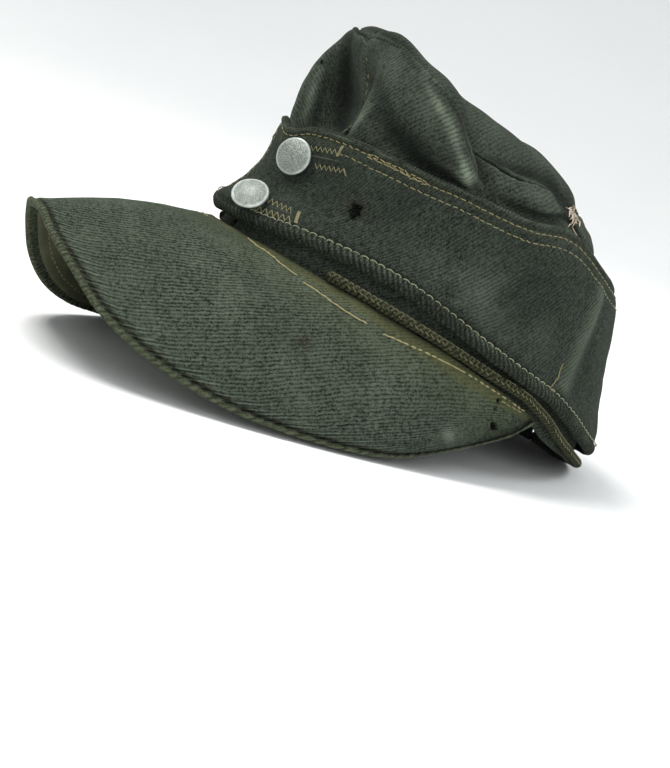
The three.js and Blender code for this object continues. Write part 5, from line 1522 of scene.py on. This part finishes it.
# ---- buttonholes -------------------------------------------------------------------------------
def zigzag(start, end, width, steps, surface, radius=0.19, bar=None):
    """Zigzag thread between two places seen in the photo's frame, and a bar across its end."""
    a, b = np.array(start, float), np.array(end, float)
    d = (b - a) / np.linalg.norm(b - a)
    side = np.array([-d[1], d[0]])
    px = [a + d * np.linalg.norm(b - a) * i / steps + side * width * (0.5 if i % 2 else -0.5) for i in range(steps + 1)]
    out = []
    for p0, p1 in zip(px[:-1], px[1:]):
        seg = [p0 + (p1 - p0) * f for f in np.linspace(-0.04, 1.04, 6)]
        hits = [surface.seen(*q) for q in seg]
        if any(h is None for h in hits):
            continue
        P = np.array([h[0] + h[1] * MM * (0.16 - 0.22 * abs(2 * f - 1) ** 4) for h, f in zip(hits, np.linspace(0, 1, 6))])
        out.append((P, radius * rng.uniform(0.85, 1.15) * MM))
    if bar:
        for k in range(bar[2]):
            f = k / max(1, bar[2] - 1)
            c = np.array(bar[0], float) + d * (bar[3] * f)
            e = np.array(bar[1], float) + d * (bar[3] * f)
            hits = [surface.seen(*(c + (e - c) * g)) for g in np.linspace(0, 1, 6)]
            if any(h is None for h in hits):
                continue
            out.append((np.array([h[0] + h[1] * MM * (0.3 - 0.35 * abs(2 * g - 1) ** 4) for h, g in zip(hits, np.linspace(0, 1, 6))]),
                        radius * 1.05 * MM))
    return out


hole_paths = []
hole_paths += zigzag((311, 148), (337, 152), 5.0, 11, S_LEFT, 0.17, ((342.5, 145.5), (336.5, 156), 4, 1.7))
hole_paths += zigzag((315, 166), (343, 171), 5.0, 12, S_LEFT, 0.15, ((343.5, 168.5), (345.5, 176), 2, 0.9))
hole_paths += zigzag((267, 199.5), (292, 211), 5.5, 11, S_LEFT, 0.17)
hole_paths += zigzag((254, 207.5), (291, 220), 6.0, 13, S_LEFT, 0.2, ((298.5, 211), (294.5, 222.5), 5, 2.4))
done(tubes("buttonhole_stitches", hole_paths, M_BUTTONHOLE, 6))


def slit(start, end, surface, width=0.35):
    hits = [surface.seen(*(np.array(start) + (np.array(end) - np.array(start)) * f)) for f in np.linspace(0, 1, 14)]
    P = np.array([h[0] for h in hits if h is not None])
    N = np.array([h[1] for h in hits if h is not None])
    f = np.linspace(0, 1, len(P))
    return P - N * 0.08 * MM, width * np.sqrt(np.clip(1 - (2 * f - 1) ** 2, 0.05, 1)) * MM


# painted shade: dark threads laid along the buttonhole slits stand in for the shade in their gaps
done(tubes("buttonhole_slits", [slit((309, 155.5), (338, 161.5), S_LEFT, 0.42), slit((263, 204), (292, 215.5), S_LEFT, 0.4)], M_SLIT_SHADE, 8))

# ---- threads on the peak and loose ends ----------------------------------------------------------
thread_paths = []
for px in (((243, 232.5), (248, 238.5), (256.5, 246), (268, 253), (280, 263), (290, 271), (297.4, 276.2)),
           ((303, 282.5), (315, 290), (330, 301), (345, 311), (357, 318.5), (367, 324)),
           ((383.5, 334.5), (400, 341.5), (420, 350.5), (438, 359), (455, 367.5)),
           ((456, 368), (474, 378.5), (492, 390), (508, 400.5), (524, 411.5))):
    found = [S_PEAK.seen(*q) for q in px]
    if sum(h is not None for h in found) < 2:
        continue
    pts, s = S_PEAK.path(px, 0.12 * MM)
    wob = np.sin(s / MM * 2 * math.pi / 2.9)
    T = unit(np.gradient(pts, axis=0))
    nrm = unit(pts - np.array([0, 0.03, 0.0]))
    B = unit(np.cross(T, np.array([0, 0, 1.0])))
    jog = np.cumsum(rng.normal(0, 1, len(s)))
    jog = np.convolve(jog - np.linspace(jog[0], jog[-1], len(jog)), np.ones(9) / 9, "same") * 0.05
    jog = np.clip(jog, -0.6, 0.6)
    pts = pts + B * (0.24 * MM * wob + (0.2 * np.sin(s / MM * 1.1) + jog) * MM)[:, None] + np.array([0, 0, 1.0]) * (0.2 * MM * np.maximum(0, wob))[:, None]
    size = 0.27 + 0.06 * np.sin(s / MM * 2.1 + 1) + 0.05 * np.sin(s / MM * 5.3)
    thread_paths.append((pts[::2], size[::2] * MM))
done(tubes("peak_threads", thread_paths, M_PEAK_THREAD, 7))

# the far half of the same line, on the wearer's right
far = []
for a0, a1 in ((-0.04, -0.9),):
    at = np.linspace(a0, a1, 260)
    width = peak_width(at)
    P = stand(peak_point(at, peak_line_back(at) / width) + np.array([0, 0, 1.0]) * (PEAK_THICK / 2))
    N = np.tile(np.array([0, 0, 1.0]), (len(P), 1))
    far += dashes(near_line((P, N), S_PEAK), 3.0, 2.4, 0.22)
at = np.linspace(0.9, 0.965, 30)
P = stand(peak_point(at, peak_line_back(at) / peak_width(at)) + np.array([0, 0, 1.0]) * (PEAK_THICK / 2))
far += dashes(near_line((P, np.tile(np.array([0, 0, 1.0]), (len(P), 1))), S_PEAK), 3.0, 2.4, 0.22)
done(tubes("peak_stitches", far, M_OCHRE, 6))

# under the peak: a line of stitches round, inside the wrapped edge
k = int(np.argmin(np.abs(under_edge[len(under_edge) // 2] - 3.0)))
line = under_q[:, k] + under_n[:, k] * (UNDERLAY / 2 - 0.2)
done(tubes("underside_stitches", dashes((stand(line), turn(under_n[:, k])), 3.4, 2.3, 0.2), M_OCHRE, 6))

# loose thread hanging on the flap near its end
loose = []
pts, s = S_LEFT.path(((562.3, 363.8), (560.5, 368.5), (558.6, 372.5), (558.8, 376), (555.2, 380.5), (551.5, 386)), 0.3 * MM)
wob = np.sin(s / MM * 2.4)
loose.append((pts[::2] + np.array([0.6, 0, 0.8])[None] * (0.25 * MM * wob[::2])[:, None], 0.2 * MM))
pts, s = S_LEFT.path(((552, 384), (549.5, 388.5), (553, 392)), 0.35 * MM)
loose.append((pts[::2], 0.18 * MM))
done(tubes("loose_threads", loose, M_OCHRE, 7))

# ---- the front seam's thread on the crown ---------------------------------------------------------
S_CROWN = Surface(wall_left, wall_right)
v = np.linspace(0.55, 0.97, 120)
P = crown_at(1, 1.3 + 0 * v, v)
n_front = np.tile(np.array([0, -1.0, 0.15]), (len(P), 1))
done(tubes("crown_front_stitches", dashes(near_line((stand(P), turn(n_front)), S_CROWN), 3.2, 2.1, 0.17), M_OCHRE, 6))


# ---- shreds of lining hanging out of the torn seam --------------------------------------------------
S_BACK = Surface(wall_left, top)
shreds = []
for k_ in range(22):
    y0 = 204 + 18 * rng.random()
    x0 = 571 + 0.15 * (y0 - 205) + rng.normal(0, 1.0)
    way = rng.normal(0, 1.0)
    px = [(x0, y0), (x0 + 1.6 * way + rng.normal(0, 0.6), y0 + rng.uniform(2, 4)), (x0 + 2.2 * way + rng.normal(0, 1), y0 + rng.uniform(4.5, 8))]
    if sum(S_BACK.seen(*c) is not None for c in px) < 2:
        continue
    pts, s = S_BACK.path(px, rng.uniform(0.25, 0.8) * MM)
    f = np.linspace(0, 1, len(pts))
    shreds.append((pts[::2], (0.28 * np.sqrt(np.clip(4 * f * (1 - f), 0.1, 1)) * rng.uniform(0.6, 1.3) * MM)[::2]))
for px in (((571, 226), (575, 234), (580, 241)), ((572.5, 228), (576.5, 236), (582, 243.5))):
    if sum(S_BACK.seen(*c) is not None for c in px) < 2:
        continue
    pts, s = S_BACK.path(px, 0.25 * MM)
    shreds.append((pts[::2], 0.2 * MM))
if shreds:
    done(tubes("lining_shreds", shreds, M_LINING, 6), [])


# ---- frayed fibres round the moth holes -----------------------------------------------------------
fibres = []
for c0, (e1, e2), radius, n_, many in frayed:
    surface = S_LEFT if many else S_CROWN
    for k_ in range(18):
        th = rng.uniform(0, 2 * math.pi)
        if many and rng.random() < 0.5:
            th = rng.uniform(0.15, 0.85) * math.pi
        d = e1 * math.cos(th) + e2 * math.sin(th)
        r0 = radius * rng.uniform(1.05, 1.45)
        a0, _ = surface.near(stand(c0 + d * r0))
        _, n0 = surface.near(a0)
        if np.dot(n0, np.array(eye) - a0) < 0:
            n0 = -n0
        d_row = turn(d)
        bend = rng.normal(0, 0.5)
        side_ = np.cross(n0, d_row)
        f = np.linspace(0, 1, 6)
        L = rng.uniform(0.4, 1.4) * radius * 0.5
        P = a0 + n0 * (0.15 + 0.25 * np.sin(f * 3.0) * rng.uniform(0.3, 1))[:, None] * MM - d_row * (L * f)[:, None] * MM + side_ * (bend * L * f ** 2)[:, None] * MM
        fibres.append((P, np.linspace(0.085, 0.03, 6) * MM))
done(tubes("hole_fibres", fibres, M_FIBRE, 5))


# ---- light, floor and backdrop ---------------------------------------------------------------------
def sweep():
    """One unbroken pale surface: a floor that turns up into walls far away."""
    prof = [(0, 0), (0.3, 0), (0.8, 0), (1.4, 0)] + [(1.4 + 2.2 * math.sin(t), 2.2 * (1 - math.cos(t))) for t in np.linspace(0.06, math.pi / 2, 24)] + [(3.6, 3.4), (3.6, 4.6)]
    n = 96
    t = np.arange(n) / n * 2 * math.pi
    v = np.array([[(r * math.cos(a), r * math.sin(a), z - 0.00005) for a in t] for r, z in prof[1:]])
    verts = np.concatenate([v.reshape(-1, 3), [[0, 0, -0.00005]]])
    m = len(prof) - 1
    j = np.arange(n)
    faces = np.concatenate([quads(m, n, closed_v=True), np.stack([np.full(n, m * n), j, (j + 1) % n, (j + 1) % n], -1)])
    k = Nodes("pale_backdrop")
    obj = k.new("ShaderNodeTexCoord").outputs["Object"]
    c = k.mixc(k.ramp(k.noise(obj, 1.2, 2), 0.3, 0.7), (0.84, 0.85, 0.852, 1), (0.87, 0.876, 0.878, 1))
    k.link(c, k.bsdf.inputs["Base Color"])
    k.bsdf.inputs["Roughness"].default_value = 0.9
    k.bsdf.inputs["Specular IOR Level"].default_value = 0.1
    o = make("backdrop", verts, faces, k.mat)


sweep()


def area(name, place, aim, size, power, colour=(1, 1, 1)):
    d = bpy.data.lights.new(name, "AREA")
    d.shape = "RECTANGLE"
    d.size, d.size_y = size
    d.energy = power
    d.color = colour
    o = bpy.data.objects.new(name, d)
    o.location = place
    o.rotation_mode = "QUATERNION"
    o.rotation_quaternion = (Vector(aim) - Vector(place)).to_track_quat("-Z", "Y")
    bpy.context.scene.collection.objects.link(o)


area("key_softbox", (-0.35, -0.75, 1.75), (0, 0, 0.05), (0.9, 0.8), 36, (1.0, 0.99, 0.97))
area("fill_softbox", (1.7, -0.5, 0.9), (0, 0, 0.08), (1.4, 1.2), 9, (0.97, 0.99, 1.0))
area("back_softbox", (0.5, 1.6, 1.6), (0, 0, 0.1), (1.2, 0.9), 18, (0.98, 1.0, 1.0))
world = bpy.data.worlds.new("studio")
world.use_nodes = True
world.node_tree.nodes["Background"].inputs["Color"].default_value = (0.95, 0.965, 0.97, 1)
world.node_tree.nodes["Background"].inputs["Strength"].default_value = 0.66
bpy.context.scene.world = world
bpy.context.scene.view_settings.view_transform = "Standard"
